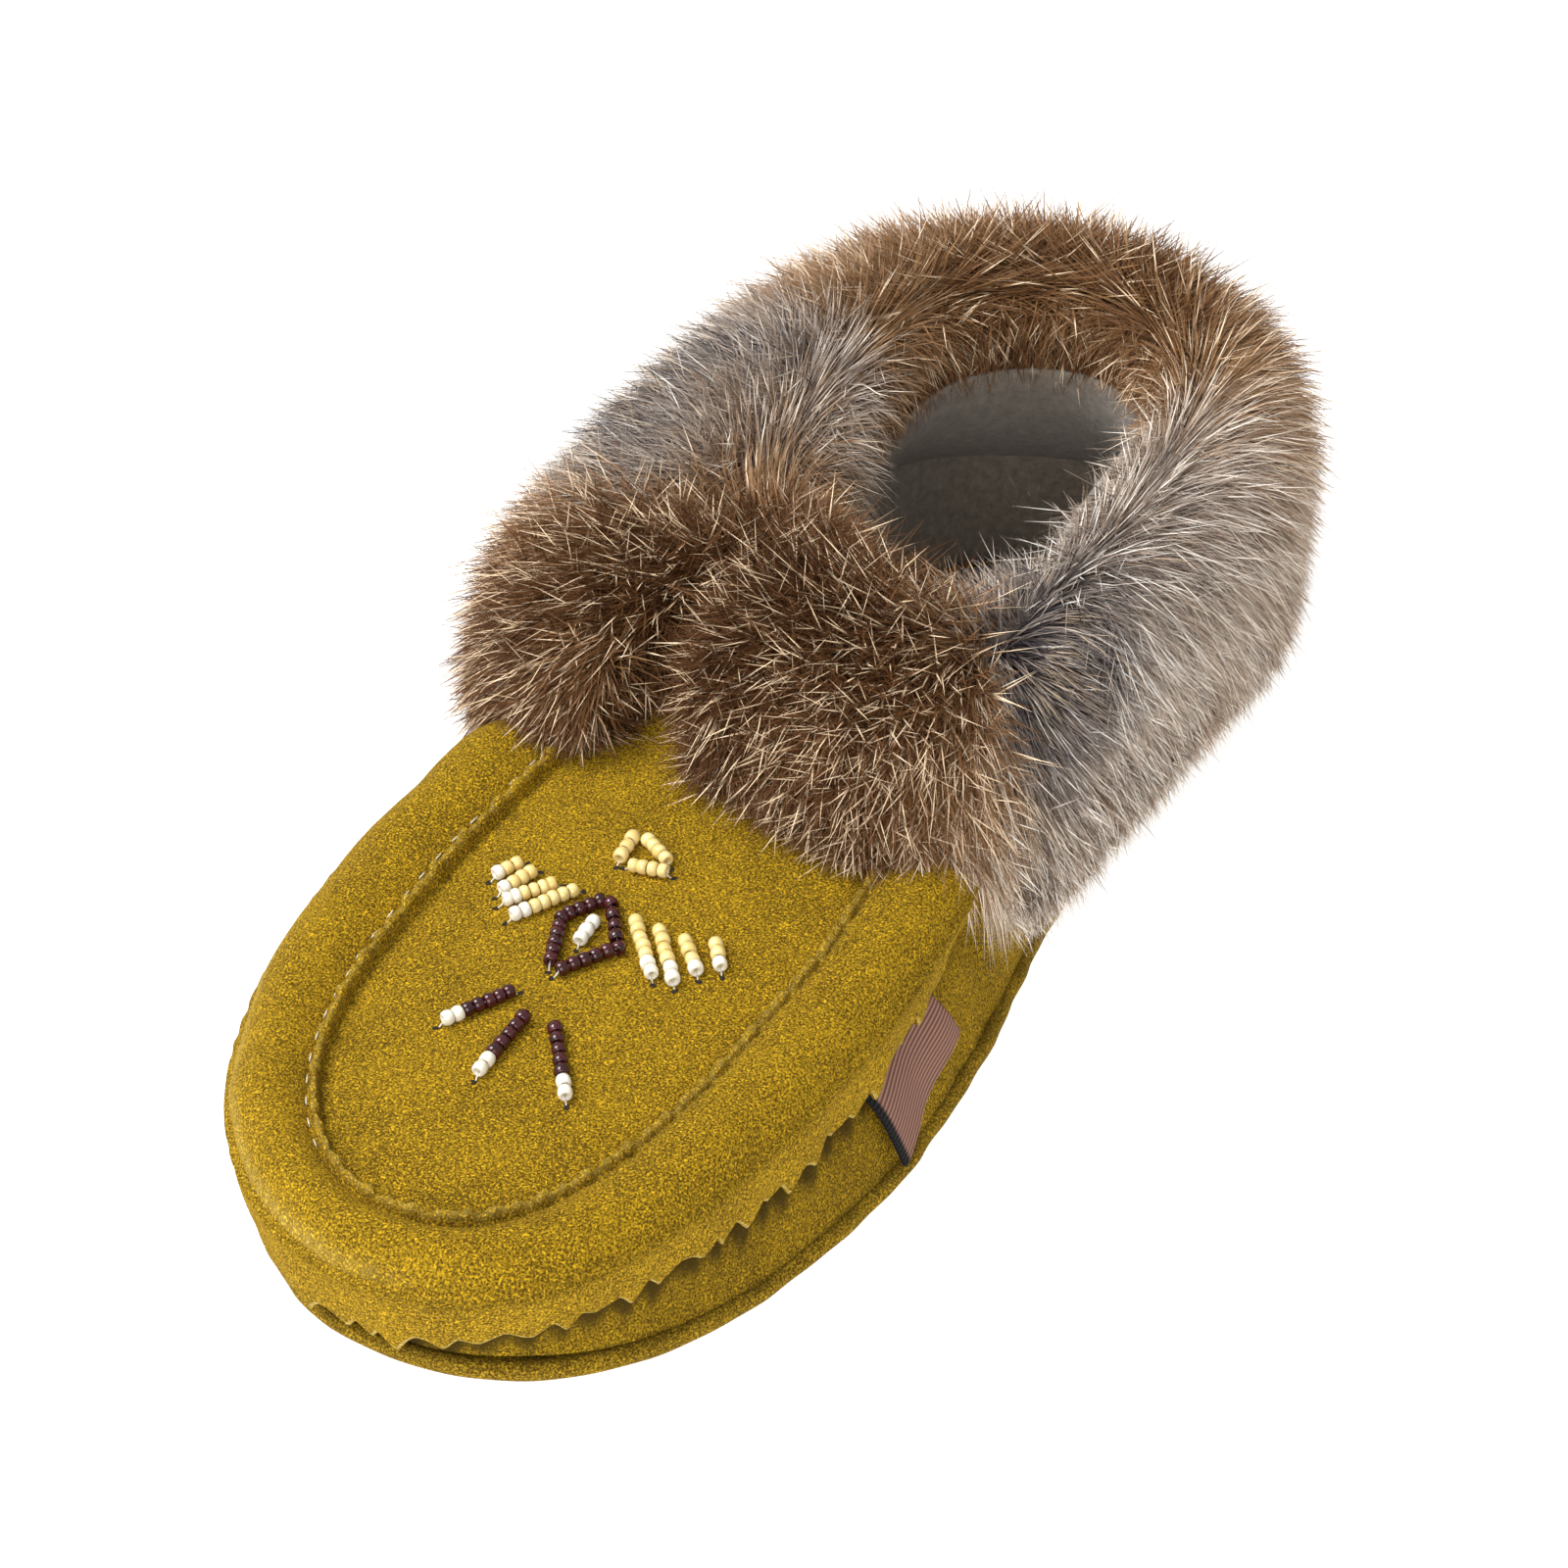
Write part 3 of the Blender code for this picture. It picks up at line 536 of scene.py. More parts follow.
relief += on_roll * wave(turn_grid, (23, 0.00007, 0.3), (41, 0.00005, 1.9), (9, 0.00010, 2.6))
crinkle = np.exp(-((level_grid - 10.5) / 0.9) ** 2)
relief += crinkle * wave(turn_grid, (187, 0.00026, 0.0), (121, 0.00042, 1.0), (67, 0.00026, 2.2))
fade = np.clip((0.52 - np.abs(turn_grid)) / 0.05, 0, 1)
shell = shell + face_out * (relief * fade)[:, :, None]

bm = bmesh.new()
laid_grid(bm, closed(shell))
PLUG_COLUMNS = 121


def crowned_plug(loop, steps):
    """Rows across the plug, raised to a soft crown in its middle."""
    rows = across_rows(loop, steps)[:, :PLUG_COLUMNS].copy()
    share = np.linspace(0, 1, steps + 1)[:, None]
    rows[:, :, 2] += PLUG_CROWN * np.minimum(np.arange(PLUG_COLUMNS) / 40, 1) * (1 - (2 * share - 1) ** 2)
    return rows


plug_rows = crowned_plug(shell[-1], 56)
dimple = wave(plug_rows[:, :, 1] / 0.1, (5, 0.00012, 0.3)) * wave(plug_rows[:, :, 0] / 0.05, (3, 1.0, 0.8))
plug_rows[1:-1, 1:, 2] += dimple[1:-1, 1:]
laid_grid(bm, plug_rows)
bmesh.ops.remove_doubles(bm, verts=bm.verts, dist=0.000002)
inner_rings = np.array([upper_ring(columns, k, True) for k in range(13)])
inner_shell = finer(inner_rings, (2,) * 12)
laid_grid(bm, closed(inner_shell))
laid_grid(bm, crowned_plug(inner_rings[-1], 16))
bmesh.ops.remove_doubles(bm, verts=bm.verts, dist=0.000002)
moss_suede = suede_finish(
    "moss suede", (0.11, 0.058, 0.001), (0.86, 0.508, 0.015), (0.10, 0.056, 0.002), NAP_DEPTH)
upper = hand_over(bm, "suede_upper", moss_suede)
co = places_of(upper)


def nearest(places, others):
    """Index of the nearest of the others to each place, and how far away it is."""
    index = np.zeros(len(places), int)
    gap = np.zeros(len(places))
    for start in range(0, len(places), 4000):
        squares = ((places[start:start + 4000, None] - others[None]) ** 2).sum(axis=2)
        index[start:start + 4000] = squares.argmin(axis=1)
        gap[start:start + 4000] = np.sqrt(squares.min(axis=1))
    return index, gap


def line_depth(level, reach):
    """How close each place of the upper is to one of its ring lines."""
    k = int(np.argmin(np.abs(ring_level - level)))
    gap = nearest(co, shell[k][np.abs(columns) < 0.53][::2])[1]
    return np.exp(-(gap / reach) ** 2)


# Painted shade: in the valley inside the roll, along the plug's edge and where the wall meets the sole.
seam_shade = 0.28 * line_depth(9.3, 0.0012)
seam_shade += 0.22 * line_depth(12.0, 0.0010)
foot_gap = co[:, 2] - sole_top(co[:, 1])
seam_shade += 0.4 * np.exp(-(foot_gap / 0.0005) ** 2)
set_painted_light(upper, seam_shade)
# Painted highlight: lighter along the roll's fold at the toe's left and on the ridge's crest.
toe_left = np.clip((0.012 - co[:, 0]) / 0.02, 0, 1) * np.clip((-0.055 - co[:, 1]) / 0.02, 0, 1)
highlight_places = 0.40 * line_depth(4.5, 0.0016) * toe_left
highlight_places += 0.34 * line_depth(10.3, 0.0009)
set_painted_light(upper, highlight_places, "painted_highlight")
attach(upper, "root")
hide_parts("upper")

# Ridge stitching: pale thread dashes outside the pintuck ridge, where the plug's gathering thread shows
# Each dash is a short rounded bar pressed into the suede.
STITCH_LENGTH = 0.0024
STITCH_WIDTH = 0.00034
thread_white, tree, shader = new_material("pale thread", Roughness=0.7)
thread_place = tree.nodes.new("ShaderNodeTexCoord").outputs["Object"]
twist = add_node(tree, "TexWave", Scale=900, Distortion=2, Vector=thread_place).outputs["Fac"]
fill(tree, shader, Base_Color=two_tones(tree, twist, 0.0, (0.50, 0.45, 0.32), 1.0, (0.86, 0.82, 0.70)))


def thread_bar(bm, start, end, radius):
    """A rounded bar of thread between two points."""
    start, end = Vector(start), Vector(end)
    made = bmesh.ops.create_icosphere(bm, subdivisions=1, radius=radius)["verts"]
    along = end - start
    spin = Vector((1, 0, 0)).rotation_difference(along).to_matrix()
    stretch = (along.length / 2 + radius) / radius
    for vert in made:
        vert.co = spin @ Vector((vert.co.x * stretch, vert.co.y, vert.co.z)) + (start + end) / 2


STITCH_RUNS = (
    # from_turn, to_turn, level, count, lift
    (-0.475, -0.250, 8.55, 13, 0.00002),
    (-0.235, -0.090, 8.60, 9, -0.00002),
)
bm = bmesh.new()
for from_turn, to_turn, level, count, lift in STITCH_RUNS:
    k = int(np.argmin(np.abs(ring_level - level)))
    order = np.argsort(columns)
    for turn in np.linspace(from_turn, to_turn, count):
        half = STITCH_LENGTH / edge_length
        ends = []
        for spot in (turn - half, turn + half):
            place = [np.interp(spot, columns[order], shell[k][order, c]) for c in range(3)]
            away = [np.interp(spot, columns[order], face_out[k][order, c]) for c in range(3)]
            ends.append(Vector(place) + Vector(away) * lift)
        thread_bar(bm, ends[0], ends[1], STITCH_WIDTH / 2)
ridge_thread = hand_over(bm, "ridge_stitches", thread_white)
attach(ridge_thread, "root")

# Pinked skirt: the vamp's free edge
# It hangs from under the roll over the side wall, and its edge is cut in rounded teeth that curl a little.
SKIRT_THICKNESS = 0.0009
TOOTH_PITCH = 0.0057
TOOTH_DEPTH = 0.0027
SKIRT_REACH = 0.465
COLUMNS_PER_TOOTH = 14
teeth = round(SKIRT_REACH * edge_length / TOOTH_PITCH)
skirt_turns = np.linspace(-SKIRT_REACH, SKIRT_REACH, teeth * COLUMNS_PER_TOOTH + 1)
phase = np.linspace(0, teeth, len(skirt_turns)) + wave(skirt_turns, (19, 0.14, 0.4), (43, 0.10, 1.1))
foot = sole_top(edge_at(skirt_turns, 0)[1]) + PART_GAP
height = roll_height(edge_at(skirt_turns, 0)[1]) - foot
pinked = along_rows(VAMP_ROWS, skirt_turns, 3) * ROLL_HEIGHT_AT_TOE
pinked += 0.0013 * np.exp(-((skirt_turns - 0.17) / 0.11) ** 2)
tooth = np.abs(((phase + 0.5) % 1.0) * 2 - 1)
tooth = 0.65 * (1 - tooth) + 0.35 * (0.5 + 0.5 * np.cos(math.pi * tooth))
tooth_depth = TOOTH_DEPTH * (1 + wave(skirt_turns, (71, 0.16, 0.5), (33, 0.14, 1.3)))
tip_share = np.maximum(np.minimum((pinked - foot) / height, 0.81) - tooth_depth / height, 0.03)


def wall_reach(turns, heights):
    """How far the finished side wall stands out from the sole's edge at each turn and height."""
    order = np.argsort(columns)
    base_x, base_y = edge_at(turns, 0)
    tip_x, tip_y = edge_at(turns, 1)
    rows_out = []
    rows_z = []
    for ring in shell[:int(np.argmin(np.abs(ring_level - 3.9)))]:
        x, y, z = (np.interp(turns, columns[order], ring[order, c]) for c in range(3))
        rows_out.append((x - base_x) * (tip_x - base_x) + (y - base_y) * (tip_y - base_y))
        rows_z.append(z)
    rows_out, rows_z = np.array(rows_out), np.array(rows_z)
    return np.array([np.interp(h, rows_z[:, k], rows_out[:, k]) for k, h in enumerate(heights)])


top_out = along_rows(VAMP_ROWS, skirt_turns, 1) * ROLL_HEIGHT_AT_TOE - 0.0002
top_z = roll_height(edge_at(skirt_turns, top_out)[1]) + 0.0008
tip_z = foot + tip_share * height
edge_z = tip_z + tooth_depth * (1 - tooth)
wall_there = wall_reach(skirt_turns, tip_z)
over_label = 0.0014 * np.exp(-((skirt_turns - 0.35) / 0.055) ** 4)
tip_out = np.maximum(wall_there + 0.0016 + over_label, 0.5 * wall_there + 0.5 * (top_out - 0.0012))
tip_out += wave(skirt_turns, (27, 0.0003, 0.2), (49, 0.00025, 1.7))
skirt_steps = np.array([0.0, 0.12, 0.3, 0.5, 0.68, 0.84, 0.94, 1.0])
skirt_rows = []
for outer_side in (True, False):
    for step in (skirt_steps if outer_side else skirt_steps[::-1]):
        z = top_z + (edge_z - top_z) * step
        fallen = (top_z - z) / (top_z - tip_z)
        out = top_out + (tip_out - top_out) * fallen + 0.0007 * np.sin(math.pi * fallen)
        if step == 0:
            out = out - 0.0014
        else:
            clear = wall_reach(skirt_turns, z) + 0.0009 + 0.0007 * fallen + over_label
            clear = np.where(fallen < 0.45, np.minimum(clear, top_out + 0.0003), clear)
            out = np.maximum(out, clear)
        if outer_side:
            out = out + SKIRT_THICKNESS * (0.7 if step == 1.0 else 1.0)
        x, y = edge_at(skirt_turns, out)
        skirt_rows.append(np.stack([x, y, z], axis=1))
skirt_rows.append(skirt_rows[0])
bm = bmesh.new()
skirt_verts = laid_grid(bm, np.array(skirt_rows))
cut_rows = set(skirt_verts[6 * len(skirt_turns):8 * len(skirt_turns)])
for face in bm.faces:
    face.material_index = int(all(vert in cut_rows for vert in face.verts))
bmesh.ops.remove_doubles(bm, verts=bm.verts, dist=0.000002)
bmesh.ops.holes_fill(bm, edges=[e for e in bm.edges if e.is_boundary], sides=20)
# The skirt's suede is the vamp's suede painted lighter: painted light on the skirt, set against the wall in
# its shade.
skirt_suede = suede_finish(
    "pinked suede", (0.14, 0.075, 0.001), (0.95, 0.565, 0.022), (0.08, 0.045, 0.002), NAP_DEPTH)
cut_suede = suede_finish("cut edge", (0.46, 0.29, 0.03), (1.00, 0.74, 0.22), (0.08, 0.045, 0.002), 0.0003)
skirt = hand_over(bm, "pinked_edge", skirt_suede, cut_suede)
skirt_places = places_of(skirt)
# Painted shade on the skirt just under the roll's edge.
set_painted_light(skirt, 0.22 * np.exp(-((roll_height(skirt_places[:, 1]) - skirt_places[:, 2]) / 0.0016) ** 2))
# The wall is darker in the shade of the teeth and under the skirt on the inner side
wall_turns = edge_turns[nearest(co[:, :2], edge_points)[0]]
below_cut = np.interp(wall_turns, skirt_turns, edge_z) - co[:, 2]
cut_shade = np.where(below_cut < -0.0004, 0.0, np.exp(-(np.maximum(below_cut - 0.0024, 0) / 0.0022) ** 2))
cut_shade *= (np.abs(wall_turns) < SKIRT_REACH) & (below_cut < 0.010)
under_skirt = 0.20 * np.clip((wall_turns - 0.05) / 0.10, 0, 1) * np.clip((0.38 - wall_turns) / 0.06, 0, 1)
under_skirt = under_skirt * (below_cut > -0.0004)
shaded = np.clip(seam_shade + cut_shade + under_skirt, 0, 1)
upper.data.attributes["painted_shade"].data.foreach_set("value", shaded.astype(np.float32))
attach(skirt, "root")
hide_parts("pinked_skirt")

# Label: a bare woven strip sewn in under the pinked edge
# Ribbed taupe weave with a dark folded selvedge along its toe side; it stands off the wall in a soft wave.
LABEL_THICKNESS = 0.0007
LABEL_ROWS = (
    # along, top_turn, top_up, free_turn, free_up
    (0.00, 0.309, 1.06, 0.326, 0.22),
    (0.50, 0.349, 1.18, 0.368, 0.42),
    (1.00, 0.391, 1.30, 0.412, 0.62),
)
along = np.linspace(0, 1, 61)
down = np.linspace(0, 1, 41)
label_faces = []
for lift in (LABEL_THICKNESS, 0.0):
    top_turn = along_rows(LABEL_ROWS, along, 1)
    free_turn = along_rows(LABEL_ROWS, along, 3)
    top_up = along_rows(LABEL_ROWS, along, 2)
    free_up = along_rows(LABEL_ROWS, along, 4)
    turn = top_turn + (free_turn - top_turn) * down[:, None]
    z = (top_up + (free_up - top_up) * down[:, None]) * ROLL_HEIGHT_AT_TOE
    wall = wall_reach(turn.ravel(), z.ravel()).reshape(turn.shape)
    out = wall + 1.2 * PART_GAP + lift
    out = out + 0.0016 * down[:, None] * (0.6 + 0.4 * np.cos(2 * math.pi * along))
    out = out + 0.0004 * np.sin(5 * along + 2) * np.sin(3 * down[:, None])
    x, y = edge_at(turn, out)
    label_faces.append(np.stack([x, y, z], axis=-1))
bm = bmesh.new()
front_side = laid_grid(bm, label_faces[0])
rear_side = laid_grid(bm, label_faces[1])
uv_layer = bm.loops.layers.uv.new("weave")
lookup = {v: (i % 61 / 60, i // 61 / 40) for side in (front_side, rear_side) for i, v in enumerate(side)}
open_edges = [e for e in bm.edges if e.is_boundary]
bmesh.ops.bridge_loops(bm, edges=open_edges)
for face in bm.faces:
    for loop in face.loops:
        loop[uv_layer].uv = lookup[loop.vert]
RIBS_ACROSS = 150
woven, tree, shader = new_material("ribbed weave", Roughness=0.85, Specular_IOR_Level=0.12, Sheen_Weight=0.02)
weave_uv = tree.nodes.new("ShaderNodeUVMap")
weave_uv.uv_map = "weave"
weave_split = add_node(tree, "SeparateXYZ", Vector=weave_uv.outputs["UV"]).outputs


def number(operation, first, second=None):
    """A sum on one or two values of the weave."""
    node = tree.nodes.new("ShaderNodeMath")
    node.operation = operation
    tree.links.new(first, node.inputs[0])
    if isinstance(second, bpy.types.NodeSocket):
        tree.links.new(second, node.inputs[1])
    elif second is not None:
        node.inputs[1].default_value = second
    return node.outputs[0]


rib = number("SINE", number("MULTIPLY", weave_split["Y"], RIBS_ACROSS))
top_band = add_node(
    tree, "MapRange", Value=weave_split["Y"], From_Min=0.50, From_Max=0.10, To_Min=0.75, To_Max=0.85)
stripe = number("MULTIPLY", spread(tree, rib, -0.2, 0.8), top_band.outputs["Result"])
weave = colour_mix(tree, stripe, (0.38, 0.200, 0.145, 1), (0.055, 0.016, 0.013, 1))
selvedge = spread(tree, weave_split["X"], 0.075, 0.045)
fill(tree, shader, Base_Color=colour_mix(tree, selvedge, weave, (0.012, 0.011, 0.012, 1)))
fill(tree, shader, Normal=add_bump(tree, rib, 0.6, 0.0002))
label = hand_over(bm, "bare_woven_label", woven)
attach(label, "root")
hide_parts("label")

# Insole: a padded footbed of grey fleece
# It lies on the sole inside the upper, and its top is slightly crowned.
fleece, tree, shader = new_material("grey fleece", Roughness=1.0, Specular_IOR_Level=0.05, Sheen_Weight=0.4)
curl = object_noise(tree, 520, Detail=6, Roughness=0.75)
fill(tree, shader, Base_Color=two_tones(tree, curl, 0.30, (0.18, 0.150, 0.118), 0.72, (0.39, 0.330, 0.268)))
fill(tree, shader, Normal=add_bump(tree, curl, 0.8, 0.0008))

insole_rows = (
    # out, up
    (-0.0055, 0.02),
    (-0.0050, 0.15),
    (-0.0050, 0.60),
    (-0.0056, 0.85),
    (-0.0074, 1.00),
)
insole_rings = []
for out, share in insole_rows:
    x, y = edge_at(around, out)
    insole_rings.append(np.stack([x, y, sole_top(y) + PART_GAP + share * 0.005], axis=1))
insole_rings = np.array(insole_rings)
bm = bmesh.new()
laid_grid(bm, closed(insole_rings))
laid_grid(bm, across_rows(insole_rings[0], 4))
insole_top = across_rows(insole_rings[-1], 20).copy()
insole_share = np.linspace(0, 1, 21)[:, None]
insole_top[:, :, 2] += 0.0009 * (1 - (2 * insole_share - 1) ** 2)
laid_grid(bm, insole_top)
insole = hand_over(bm, "fleece_insole", fleece)
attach(insole, "root")
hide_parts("insole")

# Lining: a thin skin of the same fleece over the inside of the quarters
# It runs from the footbed up to the fur and is sewn in at the collar rim.
lining_turns = np.concatenate([np.linspace(0.5, 1, 121), np.linspace(-1, -0.5, 121)[1:]])
lining_rings = finer(np.array([upper_ring(lining_turns, k, True) for k in range(1, 13)]), (2,) * 11)
lining_in = np.cross(np.gradient(lining_rings, axis=1), np.gradient(lining_rings, axis=0))
lining_in /= np.linalg.norm(lining_in, axis=2)[:, :, None] + 1e-12
middle_pull = np.sign((lining_in * (np.array([0, 0.06, 0.03]) - lining_rings)).sum(axis=2))[:, :, None]
lining_in = lining_in * middle_pull
closed_rows = np.concatenate([
    lining_rings + lining_in * 0.0004,
    (lining_rings + lining_in * 0.0016)[::-1],
    (lining_rings + lining_in * 0.0004)[:1],
])
bm = bmesh.new()
laid_grid(bm, closed_rows)
bmesh.ops.remove_doubles(bm, verts=bm.verts, dist=0.000002)
bmesh.ops.holes_fill(bm, edges=[e for e in bm.edges if e.is_boundary], sides=60)
lining = hand_over(bm, "fleece_lining", fleece)
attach(lining, "root")

# Beadwork: a bird in seed beads sewn to the plug
# Each bead is a rounded barrel with a hole. A row is strung on one thread, which goes down through a
# needle hole at each end and is held inside the plug. Each needle hole is a flat dark disc of painted shade
# on the suede.
BEAD_DIAMETER = 0.0024
BEAD_BORE = 0.0007


def bead_glass(name, low, high):
    """Opaque glossy glass with a little uneven colour."""
    glass, tree, shader = new_material(name, Roughness=0.16, Coat_Weight=0.22, Coat_Roughness=0.06)
    fill(tree, shader, Base_Color=two_tones(tree, object_noise(tree, 420), 0.35, low, 0.65, high))
    return glass


ivory_glass = bead_glass("ivory bead glass", (0.90, 0.83, 0.66), (0.95, 0.91, 0.79))
straw_glass = bead_glass("straw bead glass", (0.80, 0.58, 0.19), (0.92, 0.74, 0.33))
maroon_glass = bead_glass("maroon bead glass", (0.028, 0.004, 0.006), (0.070, 0.008, 0.011))
# The needle hole's dark is painted shade: a flat disc laid on the suede stands in for the hole.
needle_hole_shade, tree, shader = new_material("needle hole", Roughness=1.0)
hole_noise = object_noise(tree, 2000)
hole_shade_tones = two_tones(tree, hole_noise, 0.0, (0.006, 0.004, 0.002), 1.0, (0.030, 0.018, 0.004))
fill(tree, shader, Base_Color=hole_shade_tones)


suede_surface = BVHTree.FromPolygons(
    [v.co.copy() for v in upper.data.vertices], [tuple(p.vertices) for p in upper.data.polygons])


def suede_height(x, y):
    """Height of the finished suede under a point of the plug."""
    return suede_surface.ray_cast(Vector((x, y, 0.2)), Vector((0, 0, -1)))[0].z


def add_bead(bm, centre, along, thickness, size, finish):
    """Turn one bead about its bore: a rounded section spun round the thread."""
    across = along.cross(Vector((0, 0, 1))).normalized()
    section = []
    half = thickness / 2
    for k in range(8):
        angle = 2 * math.pi * k / 8
        out = (size / 2 + BEAD_BORE / 2) / 2 + (size / 2 - BEAD_BORE / 2) / 2 * math.cos(angle)
        lift = half * math.copysign(abs(math.sin(angle)) ** 0.75, math.sin(angle))
        section.append(bm.verts.new(centre + across * out + along * lift))
    edges = [bm.edges.new((section[k], section[(k + 1) % 8])) for k in range(8)]
    bmesh.ops.spin(bm, geom=section + edges, cent=centre, axis=along, angle=2 * math.pi,
                   steps=14, use_merge=True)
    touched = {f for v in section for f in v.link_faces}
    frontier = set(touched)
    while frontier:
        grown = {f for face in frontier for v in face.verts for f in v.link_faces} - touched
        touched |= grown
        frontier = grown
    for face in touched:
        face.material_index = finish


def string_row(name, places, colours):
    """Beads on their thread, with a flat disc of painted shade for the needle hole at each end of the row."""
    bm = bmesh.new()
    for k, place in enumerate(places):
        before = places[max(k - 1, 0)]
        after = places[min(k + 1, len(places) - 1)]
        gap = min((place - other).length for other in (before, after) if other != place)
        run = (after - before).normalized()
        sway = Vector((math.sin(7.1 * k + place.x * 900), math.cos(5.3 * k + place.y * 700), 0)) * 0.00007
        size = BEAD_DIAMETER * (1.02 + 0.04 * math.sin(3.7 * k + place.y * 500))
        tilt = (run + Vector((0.06 * math.sin(4.1 * k), 0.06 * math.cos(2.9 * k), 0))).normalized()
        add_bead(bm, place + sway, tilt, min(gap * 0.96, size * 0.84), size, colours[k])
    path = list(places)
    for point, inner in ((places[0], places[1]), (places[-1], places[-2])):
        away = (point - inner).normalized()
        dip = point + away * 0.0019
        dip.z = suede_height(dip.x, dip.y) - 0.0004
        # A flat disc of painted shade on the suede stands in for the needle hole.
        pit = bmesh.ops.create_circle(bm, cap_ends=True, segments=14, radius=0.00052)["verts"]
        for vert in pit:
            angle = math.atan2(vert.co.y, vert.co.x)
            stray = 1 + 0.22 * math.sin(2 * angle + point.x * 900)
            stray += 0.12 * math.sin(5 * angle + point.y * 700)
            vert.co = Vector((dip.x + vert.co.x * stray, dip.y + vert.co.y * stray, 0))
            vert.co.z = suede_height(vert.co.x, vert.co.y) + 0.00005
        for face in {f for v in pit for f in v.link_faces}:
            face.material_index = 4
        if point is places[0]:
            path.insert(0, dip)
        else:
            path.append(dip)
    before_faces = set(bm.faces)
    for a, b in zip(path[:-1], path[1:]):
        thread_bar(bm, a, b, 0.00016)
    for face in set(bm.faces) - before_faces:
        face.material_index = 3
    row = hand_over(bm, name, ivory_glass, straw_glass, maroon_glass, thread_white, needle_hole_shade)
    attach(row, "root")
    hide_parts(name.removesuffix("_row"))


def on_plug(x, y):
    """Centre of a bead lying on the suede at a plan position in ball widths."""
    x, y = x * BALL_WIDTH, y * BALL_WIDTH
    return Vector((x, y, suede_height(x, y) + BEAD_DIAMETER / 2 - 0.0001))


BEAD_ROWS = (
    # name, start_x, start_y, end_x, end_y, beads: I ivory, S straw, M maroon
    ("wing_left_1", -0.251, -0.512, -0.234, -0.481, "ISS"),
    ("wing_left_2", -0.221, -0.545, -0.200, -0.495, "ISSS"),
    ("wing_left_3", -0.201, -0.571, -0.151, -0.511, "IISSSS"),
    ("wing_left_4", -0.168, -0.599, -0.111, -0.513, "IISSSSS"),
    ("wing_right_1", 0.020, -0.540, 0.101, -0.637, "SSSSSII"),
    ("wing_right_2", 0.067, -0.545, 0.139, -0.634, "SSSSII"),
    ("wing_right_3", 0.116, -0.549, 0.161, -0.598, "SSSI"),
    ("wing_right_4", 0.163, -0.534, 0.191, -0.571, "SSI"),
    ("centre_beads", -0.042, -0.571, -0.039, -0.613, "III"),
    ("tail_left", -0.138, -0.867, -0.079, -0.774, "IIMMMMM"),
    ("tail_middle", -0.028, -0.952, -0.028, -0.820, "IIMMMMM"),
    ("tail_right", 0.118, -0.943, 0.032, -0.823, "IIMMMMM"),
    ("head_left", -0.088, -0.353, -0.084, -0.400, "SSS"),
    ("head_right", -0.061, -0.349, -0.012, -0.380, "SSSS"),
    ("head_base", -0.052, -0.416, -0.001, -0.410, "SSSS"),
)
DIAMOND_CORNERS = (
    # x, y, steps of one bead to the next corner
    (-0.059, -0.678, 5),
    (-0.094, -0.582, 1),
    (-0.087, -0.566, 3),
    (-0.058, -0.519, 1),
    (-0.037, -0.518, 4),
    (0.027, -0.609, 1),
    (0.014, -0.624, 4),
    (-0.030, -0.691, 0),
)
for name, start_x, start_y, end_x, end_y, beads in BEAD_ROWS:
    shares = np.linspace(0, 1, len(beads))
    places = [on_plug(start_x + (end_x - start_x) * s, start_y + (end_y - start_y) * s) for s in shares]
    string_row(name + "_row", places, ["ISM".index(b) for b in beads])
places = []
for (x, y, steps), (next_x, next_y, _) in zip(DIAMOND_CORNERS[:-1], DIAMOND_CORNERS[1:]):
    places += [on_plug(x + (next_x - x) * k / steps, y + (next_y - y) * k / steps) for k in range(steps)]
places.append(on_plug(*DIAMOND_CORNERS[-1][:2]))
string_row("diamond_beads_row", places, [2] * len(places))

# Fur cuff: dressed pelt folded over the collar, its two ends meeting in a V at the front
# Dense dark underfur with long banded guard hairs on a thin hide, sewn round the collar rim.
# The coat runs from dark brown at the front to grey on the inner side.
CUFF_ROWS = (
    # in_x, in_y, out_x, out_y, top, low
    (0.03, 0.30, -0.10, -0.22, 1.10, 0.56),
    (0.00, 0.33, -0.18, -0.12, 1.10, 0.58),
    (-0.02, 0.36, -0.27, -0.20, 1.11, 0.54),
    (-0.05, 0.42, -0.44, -0.17, 1.11, 0.44),
    (-0.08, 0.50, -0.60, -0.03, 1.10, 0.34),
    (-0.10, 0.58, -0.69, 0.20, 1.12, 0.28),
    (-0.12, 0.70, -0.71, 0.55, 1.16, 0.26),
    (-0.12, 0.88, -0.66, 0.98, 1.20, 0.26),
    (-0.08, 1.00, -0.45, 1.34, 1.23, 0.28),
    (0.04, 1.05, -0.04, 1.50, 1.24, 0.31),
    (0.17, 0.98, 0.37, 1.34, 1.22, 0.34),
    (0.26, 0.82, 0.57, 1.02, 1.19, 0.31),
    (0.29, 0.60, 0.60, 0.62, 1.16, 0.33),
    (0.30, 0.42, 0.57, 0.25, 1.14, 0.29),
    (0.28, 0.28, 0.53, 0.00, 1.13, 0.24),
    (0.22, 0.20, 0.45, -0.20, 1.13, 0.34),
    (0.14, 0.22, 0.26, -0.29, 1.12, 0.50),
    (0.08, 0.26, 0.04, -0.25, 1.11, 0.55),
)
CUFF_SECTION = (
    # in_out, up
    (0.00, 0.66),
    (0.05, 0.84),
    (0.18, 0.96),
    (0.38, 1.00),
    (0.58, 0.96),
    (0.76, 0.85),
    (0.89, 0.68),
    (0.97, 0.47),
    (1.00, 0.26),
    (0.97, 0.08),
    (0.86, 0.00),
    (0.55, 0.06),
    (0.25, 0.25),
    (0.06, 0.46),
)
PELT_STATIONS = 240
PELT_STEPS = 84
HAIR_DEPTH = 0.0075
